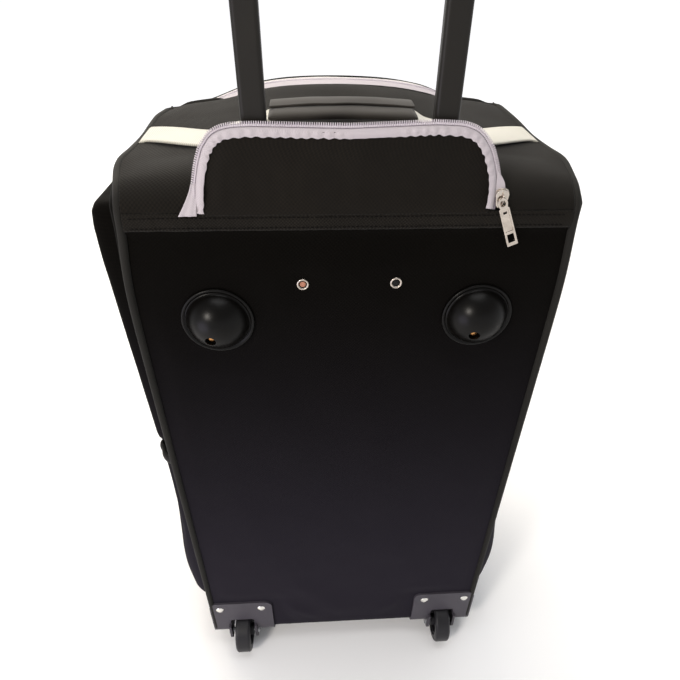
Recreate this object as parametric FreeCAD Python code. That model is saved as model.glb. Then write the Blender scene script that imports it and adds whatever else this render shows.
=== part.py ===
import FreeCAD, Part
import math
import os

# Rolling bag for three bowling balls: an upright soft tub on two rear wheels and two front feet,
# with a pull-out trolley handle behind the back panel and a cover that unzips at the front.
# Millimetres, +Z up, floor at Z = 0. Every piece is drawn with Y = 0 on the outer face of the
# back panel and +Y towards the front, then moved by back_y so that the footprint is centred.

V = FreeCAD.Vector

# ---- body ----
body_w = 360.0            # across the back panel
body_d = 273.0            # back panel to the edge of the main zip
body_bottom = 28.0        # underside above the floor
body_h = 617.0            # underside to the seam where the stow flap is sewn
side_rise = 14.0          # top edge of the side panels above the seam
crown = 27.0              # rise of the domed top at the middle
shoulder_run = 90.0       # depth over which the back edge rolls into the top
wall = 5.0                # padded wall
heel_r = 18.0             # roll of the bottom back edge
touch = 0.3               # soft pieces of different bodies stay this far apart
far = 2000.0              # reach of a cutting block that passes right through
over = 1.0                # a cutting block runs this far past the face it cuts

# ---- front ----
zip_half_w = 6.0          # each half of the main zip
zip_t = 2.5
zip_sunk = 1.0            # main zip under the panels' outer faces
gusset_d = 28.0           # depth of the cover's side wall
sill_h = 41.0             # fixed lip under the cover
pocket_proud = 18.0       # front pocket, out from the cover
pocket_side = 46.0        # front pocket, in from the cover's sides
pocket_low = 63.0         # front pocket's lower edge above the sill
pocket_down = 159.0       # and its upper edge below the back seam
pocket_corner = 26.0
pocket_roll = 7.0         # rounding of the pocket's front edges
hinge_gap = 1.5
slip_zip_half = 128.0     # zip of the slip pocket across the cover
slip_zip_w = 28.0
slip_zip_t = 1.6
slip_zip_down = 76.0      # its middle below the back seam

# ---- side pockets ----
side_pocket_proud = 31.0
side_pocket_y = (26.0, 27.0)       # in from the back panel and from the main zip
side_pocket_corner = 10.0
pouch_wall = 3.0
pouch_end_wall = 12.0     # gathered cloth at the pouch's two ends
pouch_left_h = 281.0
pouch_right_h = 236.0
upper_pocket_proud = 23.0
upper_pocket_y = (24.0, 37.0)
upper_pocket_corner = 9.0
upper_pocket_down = 5.0   # its top below the back seam
side_pocket_gap = 30.0    # from the left pouch's rim to the pocket above it

# ---- wheels and feet ----
wheel_r = 30.0
wheel_w = 20.0
wheel_in = 40.5           # wheel's middle in from the bag's side
wheel_round = 3.5         # rounding of the tread's edges
axle_y = 2.0
axle_r = 3.0
axle_head = (5.5, 2.2)    # radius and thickness of the ends outside the fork
bore_clear = 0.05
axle_bore = 80.0          # length of the bore through both ears of the fork
hub_r = 21.0
hub_inset = 1.5           # hub's face inside the tyre's face
hub_rim = 3.0             # width of the hub's raised edge
hub_dish = 4.0            # depth of the dish in each face of the hub
boss_r = 8.0
boss_reach = 3.0          # boss beyond the tyre's face, towards the fork
fork_ear_r = 10.0         # round ear of the fork about the axle
fork_ear_h = 24.0
fork_clear = 6.0          # between the wheel and each ear of the fork
plate_t = 3.0
plate_w = 83.0            # corner plate, in from the bag's side
plate_top = 106.0
plate_reach = 64.0        # corner plate under the bag, from the back panel
plate_corner = 10.0
rivet_in = (14.5, 13.5)   # rivets in from the plate's inner and outer edges
rivet_down = 14.0
rivet_head = (5.2, 2.2)   # radius and height
shank_r = 2.2
wheel_clear = 5.0         # round the tread, to the wall behind the wheel
room_corner = 4.0
foot_in = 52.0            # foot's middle in from the bag's side
foot_back = 11.0          # foot's middle behind the edge of the main zip
foot_size = (62.0, 36.0)
foot_corner = 9.0
foot_web = 8.0            # plastic above the screw's head
foot_screw_head = (5.0, 3.0)
foot_screw_r = 2.3
foot_bore_r = 6.0

# ---- trolley ----
tube_x = 68.0
tube_y = 19.0
inner_tube = (18.0, 11.0)
tube_wall = 1.2
tube_clear = 0.8          # between the inner and the outer tube
tube_corner = 3.2
tube_seat = 14.0          # inner tubes into the grip
tube_overlap = 75.0       # inner tube left inside the outer one at full reach
tube_spare = 85.0         # below the inner tube when it is pushed down
tube_foot_h = 24.0
outer_bottom = 56.0
well_down = 41.0          # floor of the stow well below the seam
floor_t = 2.0
bezel_half = 96.0
bezel_t = 4.0
bezel_corner = 6.0
bracket_half = 92.0
bracket_h = (8.0, 16.0)   # below and above the ends of the outer tubes
bracket_web_half = 50.0
bracket_corner = 4.0
plate_gap = (1.5, 0.5)    # trolley plates off the back wall and off the lining
grip_size = (164.0, 24.0, 26.0)
grip_corner = 10.0
button_size = (46.0, 11.0, 5.0)
button_stroke = 4.0
button_proud = 2.0
button_clear = 0.4
button_corner = 4.0
spring_room = 8.0
spring_r = (3.6, 2.6)     # outer and inner radius

# ---- stow pocket and flap ----
stow_half_w = 118.5
stow_reach = 64.0         # from the back panel to the far edge of the opening
stow_corner = 26.0
flap_h = 61.0
flap_base = 117.0         # half width at the seam
flap_head = 96.0          # half width at the upper corners
flap_t = 3.0
flap_zip_w = 9.0
flap_y = 2.5
flap_round = (14.0, 4.0)  # upper corner: its length, and how far the sides lean out there
mouth_proud = 1.8         # mouth's half of the zip, above the top panel

# ---- carry handle and webbing ----
web_w = 50.0
web_t = 2.2
web_y = 120.0
web_inner = 88.0          # the sewn strip ends here, and the free loop starts
wrap_half = 64.0
wrap_w = 46.0
wrap_t = 8.0
wrap_round = 3.5
loop_straight = 3.0       # webbing runs level this far past the wrap
web_rest = 0.5            # free webbing above the sewn strips
loop_w = 38.0             # the webbing folds narrower where it runs free
loop_end = 102.0
finger_gap = 6.5

# ---- hardware on the back ----
bumper_in = 70.0          # bumper's middle in from the bag's side
bumper_down = 93.0        # and below the seam
bumper_flange_r = 30.0
bumper_flange_t = 2.5
bumper_r = 23.5
bumper_h = 22.0
screw_hole = 13.0         # below the bumper's centre
screw_hole_r = 4.2
bumper_seat = 2.0         # solid plastic behind the screw's head
bumper_screw_head = (3.8, 1.8)
bumper_screw_r = 2.1
screw_clear = 0.2         # round a screw's shank
eyelet_x = 38.0
eyelet_down = 60.0        # below the seam
eyelet_head = (4.8, 1.4)
eyelet_r = (3.0, 2.0)
eyelet_clear = 0.1
eyelet_floor = 3.0        # depth of the eyelet's blind hole behind the back panel's face

# ---- inside ----
board_t = 2.0
board_side = 9.0          # back board in from the side panels
board_low = 60.0
board_down = 8.0          # back board's top below the stow well
base_t = 4.0
base_gap = (3.0, 6.0)     # base board off the lining and off the main zip's edge
lining_gap = 1.0
lining_y = 31.0
ball_r = 109.0
ball_clear = 1.0
cradle_w = 128.0
cradle_t = 36.0
cradle_corner = 18.0
cradle_gap = 48.0         # height left between one cradle and the next
ball_y = 162.0
ball_x = 62.0
ball_first = 130.0        # lowest ball's centre above the underside
ball_last = 94.0          # highest ball's centre below the stow well

# ---- zip sliders and pulls ----
slider_size = (11.0, 5.0, 15.0)    # across the zip, out of it, along it
pull_size = (8.6, 1.8, 36.0)
pull_gap = 0.3            # between a slider and the pull on it
pull_corner = 2.5
pull_hole = (1.8, 4.0, 11.0)       # half width, and both ends above the pull's tip
pull_lean = 16.0          # degrees
slider_corner = 3.0
side_slider_corner = 1.8
park_in = 2.0             # parked slider in from the flap's base corner
park_up = 3.5             # and above the seam
notch = (14.0, 9.0, 21.0)          # cut in the flap corner: inwards, outwards, up
side_slider_down = 225.0  # main sliders below the back seam
slip_slider_x = 104.0

front_y = body_d + 2 * zip_half_w + gusset_d
total_front = front_y + pocket_proud
back_y = (wheel_r - axle_y - total_front) / 2
half_w = body_w / 2
seam_z = body_bottom + body_h
side_top_z = seam_z + side_rise
sill_top = body_bottom + sill_h
axle_z = wheel_r
wheel_room = wheel_r + wheel_clear
slot_w = wheel_w + 2 * fork_clear
wheel_x = half_w - wheel_in
plate_inner_x = half_w - plate_w
foot_x = half_w - foot_in
foot_y = body_d - foot_back
bumper_x = half_w - bumper_in
bumper_z = seam_z - bumper_down
eyelet_z = seam_z - eyelet_down
outer_tube = [side + 2 * (tube_wall + tube_clear) for side in inner_tube]
well_floor = seam_z - well_down
ball_first_z = body_bottom + ball_first
ball_step = (well_floor - ball_last - ball_first_z) / 2


def box(x0, x1, y0, y1, z0, z1):
    """Block between two corners."""
    return Part.makeBox(x1 - x0, y1 - y0, z1 - z0, V(x0, y0, z0))


def rounded_box(x0, x1, y0, y1, z0, z1, r, axis):
    """Block whose four edges along one axis are rounded."""
    block = box(x0, x1, y0, y1, z0, z1)
    along = {"X": V(1, 0, 0), "Y": V(0, 1, 0), "Z": V(0, 0, 1)}[axis]
    edges = []
    for edge in block.Edges:
        if abs(edge.tangentAt(edge.FirstParameter).dot(along)) > 0.99:
            edges.append(edge)
    return block.makeFillet(r, edges)


def rod(r, length, base, axis):
    """Round bar from a point along an axis."""
    return Part.makeCylinder(r, length, base, axis)


def mirrored(shape):
    """The same piece on the other side of the bag."""
    return shape.mirror(V(0, 0, 0), V(1, 0, 0))


def prism(points, move):
    """Extrusion of a closed outline. A point is a vector, and a pair (mid, end) is an arc."""
    edges = []
    here = points[0]
    for step in points[1:] + [points[0]]:
        if isinstance(step, tuple):
            edges.append(Part.Arc(here, step[0], step[1]).toShape())
            here = step[1]
        elif (step - here).Length > 1e-6:
            edges.append(Part.LineSegment(here, step).toShape())
            here = step
    return Part.Face(Part.Wire(edges)).extrude(move)


def arch_prism(inset, y0, y1, z0):
    """Solid under the domed top, over the bag's width, taken in by inset."""
    side = half_w - inset
    edge_z = side_top_z - inset
    return prism([V(-side, y0, z0), V(-side, y0, edge_z),
                  (V(0, y0, edge_z + crown), V(side, y0, edge_z)), V(side, y0, z0)], V(0, y1 - y0, 0))


def profile_prism(inset, y1):
    """Solid under the side outline: rolled heel, upright back, rolled shoulder and level top."""
    low = body_bottom + inset
    high = side_top_z + crown - inset
    heel = heel_r - inset
    bend = heel * (1 - math.sqrt(0.5))
    x0 = -half_w - 1
    start = V(x0, inset, seam_z - 4)
    over = V(x0, shoulder_run, high + 0.01)
    middle = V(x0, inset + 0.26 * shoulder_run, seam_z - 4 + 0.68 * (high - seam_z + 4))
    return prism([V(x0, heel_r, low), (V(x0, inset + bend, low + bend), V(x0, inset, body_bottom + heel_r)),
                  start, (middle, over), V(x0, y1, high + 0.01), V(x0, y1, low)], V(body_w + 2, 0, 0))


def tub_solid(inset, y1):
    """The soft tub as a filled solid, taken in by inset on every side."""
    return arch_prism(inset, -1, y1, 0).common(profile_prism(inset, y1))


def stow_prism(grow, z0, z1):
    """Upright prism over the mouth of the stow pocket."""
    reach = stow_reach + grow
    block = box(-stow_half_w - grow, stow_half_w + grow, -stow_reach, reach, z0, z1)
    edges = [e for e in block.Edges if e.BoundBox.ZLength > over and e.BoundBox.YMin > reach - over]
    return block.makeFillet(stow_corner + grow, edges)


def wheel_wells():
    """Room for both wheel forks at the bottom back corners."""
    half = slot_w / 2 + plate_t + axle_head[1] + touch
    reach = wheel_room + plate_t
    well = box(wheel_x - half, wheel_x + half, -wheel_r, axle_y + reach, 0, axle_z + reach)
    return well.fuse(mirrored(well))


def back_screw_holes():
    """Clearance holes through the back panel and its board for the bumper screws and eyelets."""
    holes = []
    for side in (-1, 1):
        place = V(side * bumper_x, -over, bumper_z - screw_hole)
        holes.append(rod(bumper_screw_r + screw_clear, lining_y, place, V(0, 1, 0)))
        place = V(side * eyelet_x, -over, eyelet_z)
        holes.append(rod(eyelet_r[0] + eyelet_clear, lining_y, place, V(0, 1, 0)))
    return Part.makeCompound(holes)


def body_panels():
    """Back, bottom, side and top panels of the tub, cut from one shell at the piped seams."""
    shell = tub_solid(0, body_d).cut(tub_solid(wall, body_d + over))
    inner = half_w - wall
    middle = shell.common(box(-inner, inner, -over, body_d, 0, far))
    bottom_zone = box(-inner, inner, -over, heel_r, 0, body_bottom + heel_r)
    bottom_zone = bottom_zone.fuse(box(-inner, inner, -over, body_d, 0, body_bottom + wall))
    wells = wheel_wells()
    back = middle.common(box(-inner, inner, -over, heel_r, body_bottom + heel_r, seam_z))
    top = middle.common(box(-inner, inner, -over, body_d, seam_z, far))
    return {
        "back_panel": back.cut(wells).cut(back_screw_holes()),
        "bottom_panel": middle.common(bottom_zone).cut(wells),
        "top_panel": top.cut(stow_prism(0, seam_z - over, far)),
        "side_panel_left": shell.common(box(-half_w, -inner, -over, body_d, 0, far)),
        "side_panel_right": shell.common(box(inner, half_w, -over, body_d, 0, far)),
    }


def front_sill():
    """Fixed lip of the tub under the cover."""
    inner = half_w - wall
    lip = box(-half_w, half_w, body_d, front_y, body_bottom, sill_top)
    return {"front_sill": lip.cut(box(-inner, inner, body_d - over, front_y - wall,
                                      body_bottom + wall, sill_top + over))}


def ring_under_arch(inset, thick, y0, y1, z0):
    """Band that follows both sides and the domed top."""
    return arch_prism(inset, y0, y1, z0).cut(arch_prism(inset + thick, y0 - over, y1 + over, z0 - over))


def main_zip():
    """Both halves of the main zip, one on the tub and one on the cover."""
    start = sill_top + hinge_gap
    mid = body_d + zip_half_w
    return {
        "main_zip_body_half": ring_under_arch(zip_sunk, zip_t, body_d, mid - touch / 2, start),
        "main_zip_cover_half": ring_under_arch(zip_sunk, zip_t, mid + touch / 2, mid + zip_half_w, start),
    }


def cover():
    """Front cover: a face panel with a side gusset, and the pocket on it."""
    y0 = body_d + 2 * zip_half_w
    start = sill_top + hinge_gap
    face = arch_prism(0, front_y - wall, front_y, start)
    gusset = ring_under_arch(0, wall, y0, front_y - wall, start)
    across = half_w - pocket_side
    low = sill_top + pocket_low
    pocket = rounded_box(-across, across, front_y, total_front, low, seam_z - pocket_down,
                         pocket_corner, "Y")
    front_edges = [e for e in pocket.Edges if e.BoundBox.YMin > total_front - over]
    return {
        "cover_face": face,
        "cover_gusset": gusset,
        "front_pocket": pocket.makeFillet(pocket_roll, front_edges),
    }


def cover_zip():
    """Zip of the slip pocket across the cover."""
    middle = seam_z - slip_zip_down
    tape = box(-slip_zip_half, slip_zip_half, front_y, front_y + slip_zip_t,
               middle - slip_zip_w / 2, middle + slip_zip_w / 2)
    return {"cover_pocket_zip": tape}


def open_pouch(height):
    """Side pocket on the left: a gathered pouch, open at the top."""
    y0 = side_pocket_y[0]
    y1 = body_d - side_pocket_y[1]
    z1 = sill_top + height
    out = half_w + side_pocket_proud
    block = rounded_box(-out, -half_w, y0, y1, sill_top, z1, side_pocket_corner, "Z")
    room = box(-out + pouch_wall, -half_w + over, y0 + pouch_end_wall, y1 - pouch_end_wall,
               sill_top + pouch_wall, z1 + over)
    return block.cut(room)


def side_pockets():
    """Closed pocket high on the left, open pouches low on both sides."""
    top = seam_z - upper_pocket_down
    upper = rounded_box(-half_w - upper_pocket_proud, -half_w, upper_pocket_y[0], body_d - upper_pocket_y[1],
                        sill_top + pouch_left_h + side_pocket_gap, top, upper_pocket_corner, "Z")
    return {
        "side_pocket_upper_left": upper,
        "side_pouch_left": open_pouch(pouch_left_h),
        "side_pouch_right": mirrored(open_pouch(pouch_right_h)),
    }


def boards_and_lining():
    """Stiff boards and the lining that hide the trolley from the ball compartment."""
    inner = half_w - wall - lining_gap
    flat = half_w - wall - board_side
    floor = body_bottom + wall
    wells = wheel_wells()
    back = box(-flat, flat, wall, wall + board_t, board_low, well_floor - board_down)
    base = box(-inner, inner, lining_y + board_t + base_gap[0], body_d - base_gap[1], floor, floor + base_t)
    lining = box(-inner, inner, lining_y, lining_y + board_t, floor, well_floor - lining_gap)
    return {
        "back_board": back.cut(wells).cut(back_screw_holes()),
        "base_board": base.cut(wells),
        "lining_panel": lining.cut(wells),
    }


def ball_cradle(index):
    """Foam block on the lining with a dished face that a ball leans on."""
    z = ball_first_z + index * ball_step
    x = ball_x if index == 1 else -ball_x
    half = cradle_w / 2
    tall = (ball_step - cradle_gap) / 2
    y0 = lining_y + board_t
    block = rounded_box(x - half, x + half, y0, y0 + cradle_t, z - tall, z + tall, cradle_corner, "Y")
    return block.cut(Part.makeSphere(ball_r + ball_clear, V(x, ball_y, z)))


def stow_well():
    """Fabric well under the flap, where the grip sinks in."""
    cup = stow_prism(floor_t, well_floor, far).common(tub_solid(wall, body_d))
    cup = cup.cut(stow_prism(0, well_floor + floor_t, far))
    for side in (-1, 1):
        cup = cup.cut(tube_bar(side, outer_tube, 0, well_floor - over, well_floor + floor_t + over))
    return {"stow_well": cup.common(box(-half_w, half_w, wall, body_d, 0, far))}


def tube_bar(side, size, shrink, z0, z1):
    """Filled bar of a trolley tube's outline."""
    half_x = size[0] / 2 - shrink
    half_y = size[1] / 2 - shrink
    x = side * tube_x
    return rounded_box(x - half_x, x + half_x, tube_y - half_y, tube_y + half_y, z0, z1,
                       tube_corner - shrink, "Z")


def hollow_tube(side, size, z0, z1):
    """One trolley tube."""
    return tube_bar(side, size, 0, z0, z1).cut(tube_bar(side, size, tube_wall, z0 - over, z1 + over))


def trolley():
    """Outer and inner tubes, bezel, foot bracket, tube feet, grip, button and spring."""
    inner_low = well_floor + floor_t - tube_overlap
    travel = inner_low - outer_bottom - tube_spare
    grip_top = seam_z + travel
    grip_low = grip_top - grip_size[2]
    inner_top = grip_low + tube_seat
    nodes = {}
    for side, name in ((-1, "left"), (1, "right")):
        nodes["outer_tube_" + name] = hollow_tube(side, outer_tube, outer_bottom, well_floor + floor_t)
        nodes["inner_tube_" + name] = hollow_tube(side, inner_tube, inner_low, inner_top)
    plate_y = (wall + plate_gap[0], lining_y - plate_gap[1])
    bezel_z = well_floor + floor_t
    bezel = rounded_box(-bezel_half, bezel_half, plate_y[0], plate_y[1], bezel_z, bezel_z + bezel_t,
                        bezel_corner, "Z")
    bracket = rounded_box(-bracket_half, bracket_half, plate_y[0] + over, plate_y[1],
                          outer_bottom - bracket_h[0], outer_bottom + bracket_h[1], bracket_corner, "Z")
    for side in (-1, 1):
        bezel = bezel.cut(tube_bar(side, inner_tube, -touch, 0, far))
        bracket = bracket.cut(tube_bar(side, outer_tube, 0, outer_bottom, far))
    nodes["tube_bezel"] = bezel
    nodes["tube_bracket"] = bracket.cut(box(-bracket_web_half, bracket_web_half, 0, body_d,
                                            outer_bottom - floor_t, far))
    feet = [tube_bar(s, inner_tube, tube_wall, inner_low, inner_low + tube_foot_h) for s in (-1, 1)]
    nodes["inner_tube_feet"] = Part.makeCompound(feet)
    half = grip_size[0] / 2
    y0 = tube_y - grip_size[1] / 2
    grip = rounded_box(-half, half, y0, y0 + grip_size[1], grip_low, grip_top, grip_corner, "X")
    slot = (button_size[0] / 2 + button_clear, button_size[1] / 2 + button_clear)
    depth = button_size[2] + button_stroke + spring_room
    grip = grip.cut(box(-slot[0], slot[0], tube_y - slot[1], tube_y + slot[1], grip_top - depth,
                        grip_top + over))
    for side in (-1, 1):
        grip = grip.cut(tube_bar(side, inner_tube, 0, grip_low - over, inner_top))
    nodes["trolley_grip"] = grip
    z0 = grip_top - button_size[2] + button_proud
    nodes["grip_button"] = rounded_box(-button_size[0] / 2, button_size[0] / 2, tube_y - button_size[1] / 2,
                                       tube_y + button_size[1] / 2, z0, z0 + button_size[2],
                                       button_corner, "Z")
    rest = grip_top - depth
    tall = z0 - rest
    coil = rod(spring_r[0], tall, V(0, tube_y, rest), V(0, 0, 1))
    coil = coil.cut(rod(spring_r[1], tall + 2 * over, V(0, tube_y, rest - over), V(0, 0, 1)))
    nodes["button_spring"] = coil
    return nodes


def wheel_bracket():
    """Moulded corner plate on the right: it wraps the bottom back edge and forks round the wheel."""
    x0 = plate_inner_x
    x1 = half_w
    heel = profile_prism(0, plate_reach)
    skin = profile_prism(-plate_t, plate_reach)
    plate = skin.cut(heel).common(rounded_box(x0, x1, -plate_reach, plate_reach, -wheel_r, plate_top,
                                              plate_corner, "Y"))
    half = slot_w / 2
    depth = axle_y + wheel_room
    along = V(1, 0, 0)
    fork = box(wheel_x - half - plate_t, wheel_x + half + plate_t, 0, depth + plate_t,
               body_bottom, axle_z + wheel_room + plate_t)
    fork = fork.common(skin)
    for side in (-1, 1):
        x = wheel_x + side * (half + plate_t / 2) - plate_t / 2
        fork = fork.fuse(rod(fork_ear_r, plate_t, V(x, axle_y, axle_z), along))
        fork = fork.fuse(box(x, x + plate_t, axle_y - fork_ear_r, axle_y + heel_r,
                             axle_z, axle_z + fork_ear_h))
    plate = plate.fuse(fork)
    room = rounded_box(wheel_x - half, wheel_x + half, -plate_reach, depth, -wheel_r, axle_z + wheel_room,
                       room_corner, "Y")
    plate = plate.cut(room)
    plate = plate.cut(rod(axle_r, axle_bore, V(wheel_x - axle_bore / 2, axle_y, axle_z), along))
    for x in rivet_places():
        plate = plate.cut(rod(shank_r, 3 * plate_t, V(x, -2 * plate_t, rivet_z()), V(0, 1, 0)))
    return plate.removeSplitter()


def rivet_places():
    """Where the two rivets sit across the right corner plate."""
    return [plate_inner_x + rivet_in[0], half_w - rivet_in[1]]


def rivet_z():
    """Height of the rivets on the corner plates."""
    return plate_top - rivet_down


def rivet(x):
    """Domed rivet in a corner plate: head outside, short shank inwards."""
    head_r, head_h = rivet_head
    dome_r = (head_r ** 2 + head_h ** 2) / (2 * head_h)
    y = -plate_t
    z = rivet_z()
    head = Part.makeSphere(dome_r, V(x, y + dome_r - head_h, z))
    head = head.common(box(x - dome_r, x + dome_r, y - dome_r, y, z - dome_r, z + dome_r))
    return head.fuse(rod(shank_r, plate_t, V(x, y, z), V(0, 1, 0)))


def wheels():
    """Tyre, hub and axle of each wheel, with its corner plate and rivets."""
    nodes = {}
    right = wheel_bracket()
    half = wheel_w / 2
    x0 = wheel_x - half
    centre = V(x0, axle_y, axle_z)
    along = V(1, 0, 0)
    tyre = rod(wheel_r, wheel_w, centre, along)
    rims = [e for e in tyre.Edges if len(e.Vertexes) == 1 and e.BoundBox.XLength < over]
    tyre = tyre.makeFillet(wheel_round, rims)
    tyre = tyre.cut(rod(hub_r, 2 * wheel_w, V(x0 - half, axle_y, axle_z), along))
    hub = rod(hub_r, wheel_w - 2 * hub_inset, V(x0 + hub_inset, axle_y, axle_z), along)
    boss = rod(boss_r, wheel_w + 2 * boss_reach, V(x0 - boss_reach, axle_y, axle_z), along)
    bowl = hub_dish + over
    dish_out = rod(hub_r - hub_rim, bowl, V(x0 + wheel_w - hub_inset - hub_dish, axle_y, axle_z), along)
    dish_in = rod(hub_r - hub_rim, bowl, V(x0 + hub_inset - over, axle_y, axle_z), along)
    hub = hub.cut(dish_out).cut(dish_in).fuse(boss)
    hub = hub.cut(rod(axle_r + bore_clear, 3 * wheel_w, V(x0 - wheel_w, axle_y, axle_z), along))
    reach = slot_w / 2 + plate_t
    axle = rod(axle_r, 2 * reach, V(wheel_x - reach, axle_y, axle_z), along)
    for end in (-1, 1):
        x = wheel_x + end * reach - (axle_head[1] if end < 0 else 0)
        axle = axle.fuse(rod(axle_head[0], axle_head[1], V(x, axle_y, axle_z), along))
    clear_r = axle_head[0] + screw_clear
    room = rod(clear_r, 2 * plate_t, V(wheel_x - reach - 2 * plate_t, axle_y, axle_z), along)
    room = room.fuse(rod(clear_r, 2 * plate_t, V(wheel_x + reach, axle_y, axle_z), along))
    right = right.cut(room)
    pieces = {"corner_plate": right, "wheel_tyre": tyre, "wheel_hub": hub}
    for name, shape in pieces.items():
        nodes[name + "_right"] = shape
        nodes[name + "_left"] = mirrored(shape)
    nodes["wheel_axles"] = Part.makeCompound([axle, mirrored(axle)])
    rivets = [rivet(x) for x in rivet_places()]
    nodes["plate_rivets"] = Part.makeCompound(rivets + [mirrored(r) for r in rivets])
    return nodes


def front_feet():
    """Two moulded feet under the front edge, each on a screw."""
    half_x = foot_size[0] / 2
    half_y = foot_size[1] / 2
    foot = rounded_box(foot_x - half_x, foot_x + half_x, foot_y - half_y, foot_y + half_y,
                       0, body_bottom, foot_corner, "Z")
    up = V(0, 0, 1)
    shoulder = body_bottom - foot_web
    foot = foot.cut(rod(foot_bore_r, shoulder, V(foot_x, foot_y, 0), up))
    foot = foot.cut(rod(foot_screw_r + screw_clear, body_bottom, V(foot_x, foot_y, 0), up))
    head_r, head_h = foot_screw_head
    screw = rod(head_r, head_h, V(foot_x, foot_y, shoulder - head_h), up)
    screw = screw.fuse(rod(foot_screw_r, foot_web, V(foot_x, foot_y, shoulder), up))
    return {
        "front_feet": Part.makeCompound([foot, mirrored(foot)]),
        "foot_screws": Part.makeCompound([screw, mirrored(screw)]),
    }


def bumper():
    """Domed stand-off on the right: the bag lies on these, and a screw sits in a low hole."""
    cap_h = bumper_h - bumper_flange_t
    sphere_r = (bumper_r ** 2 + cap_h ** 2) / (2 * cap_h)
    flange = rod(bumper_flange_r, bumper_flange_t, V(bumper_x, 0, bumper_z), V(0, -1, 0))
    cap = Part.makeSphere(sphere_r, V(bumper_x, -bumper_h + sphere_r, bumper_z))
    side = 2 * bumper_r
    cap = cap.common(box(bumper_x - side, bumper_x + side, -side, -bumper_flange_t,
                         bumper_z - side, bumper_z + side))
    place = V(bumper_x, -bumper_seat, bumper_z - screw_hole)
    shape = flange.fuse(cap).cut(rod(screw_hole_r, side, V(place.x, place.y - side, place.z), V(0, 1, 0)))
    return shape.cut(rod(bumper_screw_r + screw_clear, side, V(place.x, -side, place.z), V(0, 1, 0)))


def back_hardware():
    """Bumpers, their screws, and the eyelets that hold the bezel."""
    right = bumper()
    out = V(0, -1, 0)
    inwards = V(0, 1, 0)
    place = V(bumper_x, -bumper_seat, bumper_z - screw_hole)
    screw = rod(bumper_screw_head[0], bumper_screw_head[1], place, out)
    screw = screw.fuse(rod(bumper_screw_r, bumper_seat + wall + board_t, place, inwards))
    eyelet = rod(eyelet_head[0], eyelet_head[1], V(eyelet_x, 0, eyelet_z), out)
    eyelet = eyelet.fuse(rod(eyelet_r[0], wall + board_t, V(eyelet_x, 0, eyelet_z), inwards))
    eyelet = eyelet.cut(rod(eyelet_r[1], wall + eyelet_floor, V(eyelet_x, -wall, eyelet_z), inwards))
    return {
        "bumper_left": mirrored(right),
        "bumper_right": right,
        "bumper_screws": Part.makeCompound([screw, mirrored(screw)]),
        "back_eyelets": Part.makeCompound([eyelet, mirrored(eyelet)]),
    }


def flap_outline(inset, y, thick):
    """Flap standing up from the seam: sloping sides, rounded upper corners."""
    low = seam_z + touch
    high = low + flap_h - inset
    base = flap_base - inset
    head = flap_head - inset * 0.8
    long, lean = flap_round
    knee = high - long
    bend = V(head - lean, y, high - lean)
    return prism([V(-base, y, low), V(-head - lean, y, knee),
                  (V(-bend.x, y, bend.z), V(-head + long, y, high)), V(head - long, y, high),
                  (bend, V(head + lean, y, knee)), V(base, y, low)], V(0, thick, 0))


def flap():
    """Stow flap with its half of the zip, the other half round the mouth, and the parked slider."""
    corner = box(flap_base - notch[0], flap_base + notch[1], -wheel_r, wheel_r, seam_z, seam_z + notch[2])
    panel = flap_outline(flap_zip_w, flap_y, flap_t).cut(corner)
    band = flap_outline(0, flap_y, flap_t).cut(flap_outline(flap_zip_w, flap_y - over, flap_t + 2 * over))
    mouth = stow_prism(flap_zip_w, seam_z, far).cut(stow_prism(0, seam_z - over, far + over))
    skin = tub_solid(-mouth_proud, body_d).cut(tub_solid(0, body_d + over))
    skin = skin.common(box(-half_w, half_w, -mouth_proud - over, web_y, seam_z, far))
    x = flap_base - park_in
    half = slider_size[0] / 2
    out = flap_y - slider_size[1]
    low = seam_z + park_up
    slider = rounded_box(x - half, x + half, out, flap_y, low, low + slider_size[2], slider_corner, "Y")
    top = low + slider_size[2] / 2
    pull_y = out - pull_gap
    pull = rounded_box(x - pull_size[0] / 2, x + pull_size[0] / 2, pull_y - pull_size[1], pull_y,
                       top - pull_size[2], top, pull_corner, "Y")
    slot_half, slot_low, slot_high = pull_hole
    tip = top - pull_size[2]
    pull = pull.cut(box(x - slot_half, x + slot_half, pull_y - wall, pull_y + wall,
                        tip + slot_low, tip + slot_high))
    pull.rotate(V(x, pull_y, top), V(0, 1, 0), -pull_lean)
    print("stow_pull pivot", x, pull_y - pull_size[1] / 2 + back_y, top)
    return {
        "stow_flap": panel,
        "stow_flap_zip": band.cut(corner),
        "stow_mouth_zip": skin.common(mouth),
        "stow_slider": slider,
        "stow_pull": pull,
    }


def webbing():
    """Off-white webbing sewn over the top, and the padded wrap on its free middle."""
    nodes = {}
    band = arch_prism(-web_t, web_y, web_y + web_w, well_floor)
    band = band.cut(arch_prism(0, web_y - over, web_y + web_w + over, well_floor - over))
    strip = band.common(box(web_inner, half_w, 0, body_d, well_floor, far))
    nodes["top_webbing"] = Part.makeCompound([strip, mirrored(strip)])
    base_z = side_top_z + crown + finger_gap
    mid_y = web_y + web_w / 2
    wrap = rounded_box(-wrap_half, wrap_half, mid_y - wrap_w / 2, mid_y + wrap_w / 2,
                       base_z, base_z + wrap_t, wrap_round, "X")
    loop = loop_run(base_z + wrap_t / 2 - web_t / 2, mid_y)
    nodes["handle_wrap"] = wrap.cut(loop)
    nodes["handle_loop"] = loop
    return nodes


def arch_height(x):
    """Height of the domed top at a distance from the middle."""
    r = (half_w ** 2 + crown ** 2) / (2 * crown)
    return side_top_z + crown - r + math.sqrt(r * r - x * x)


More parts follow.
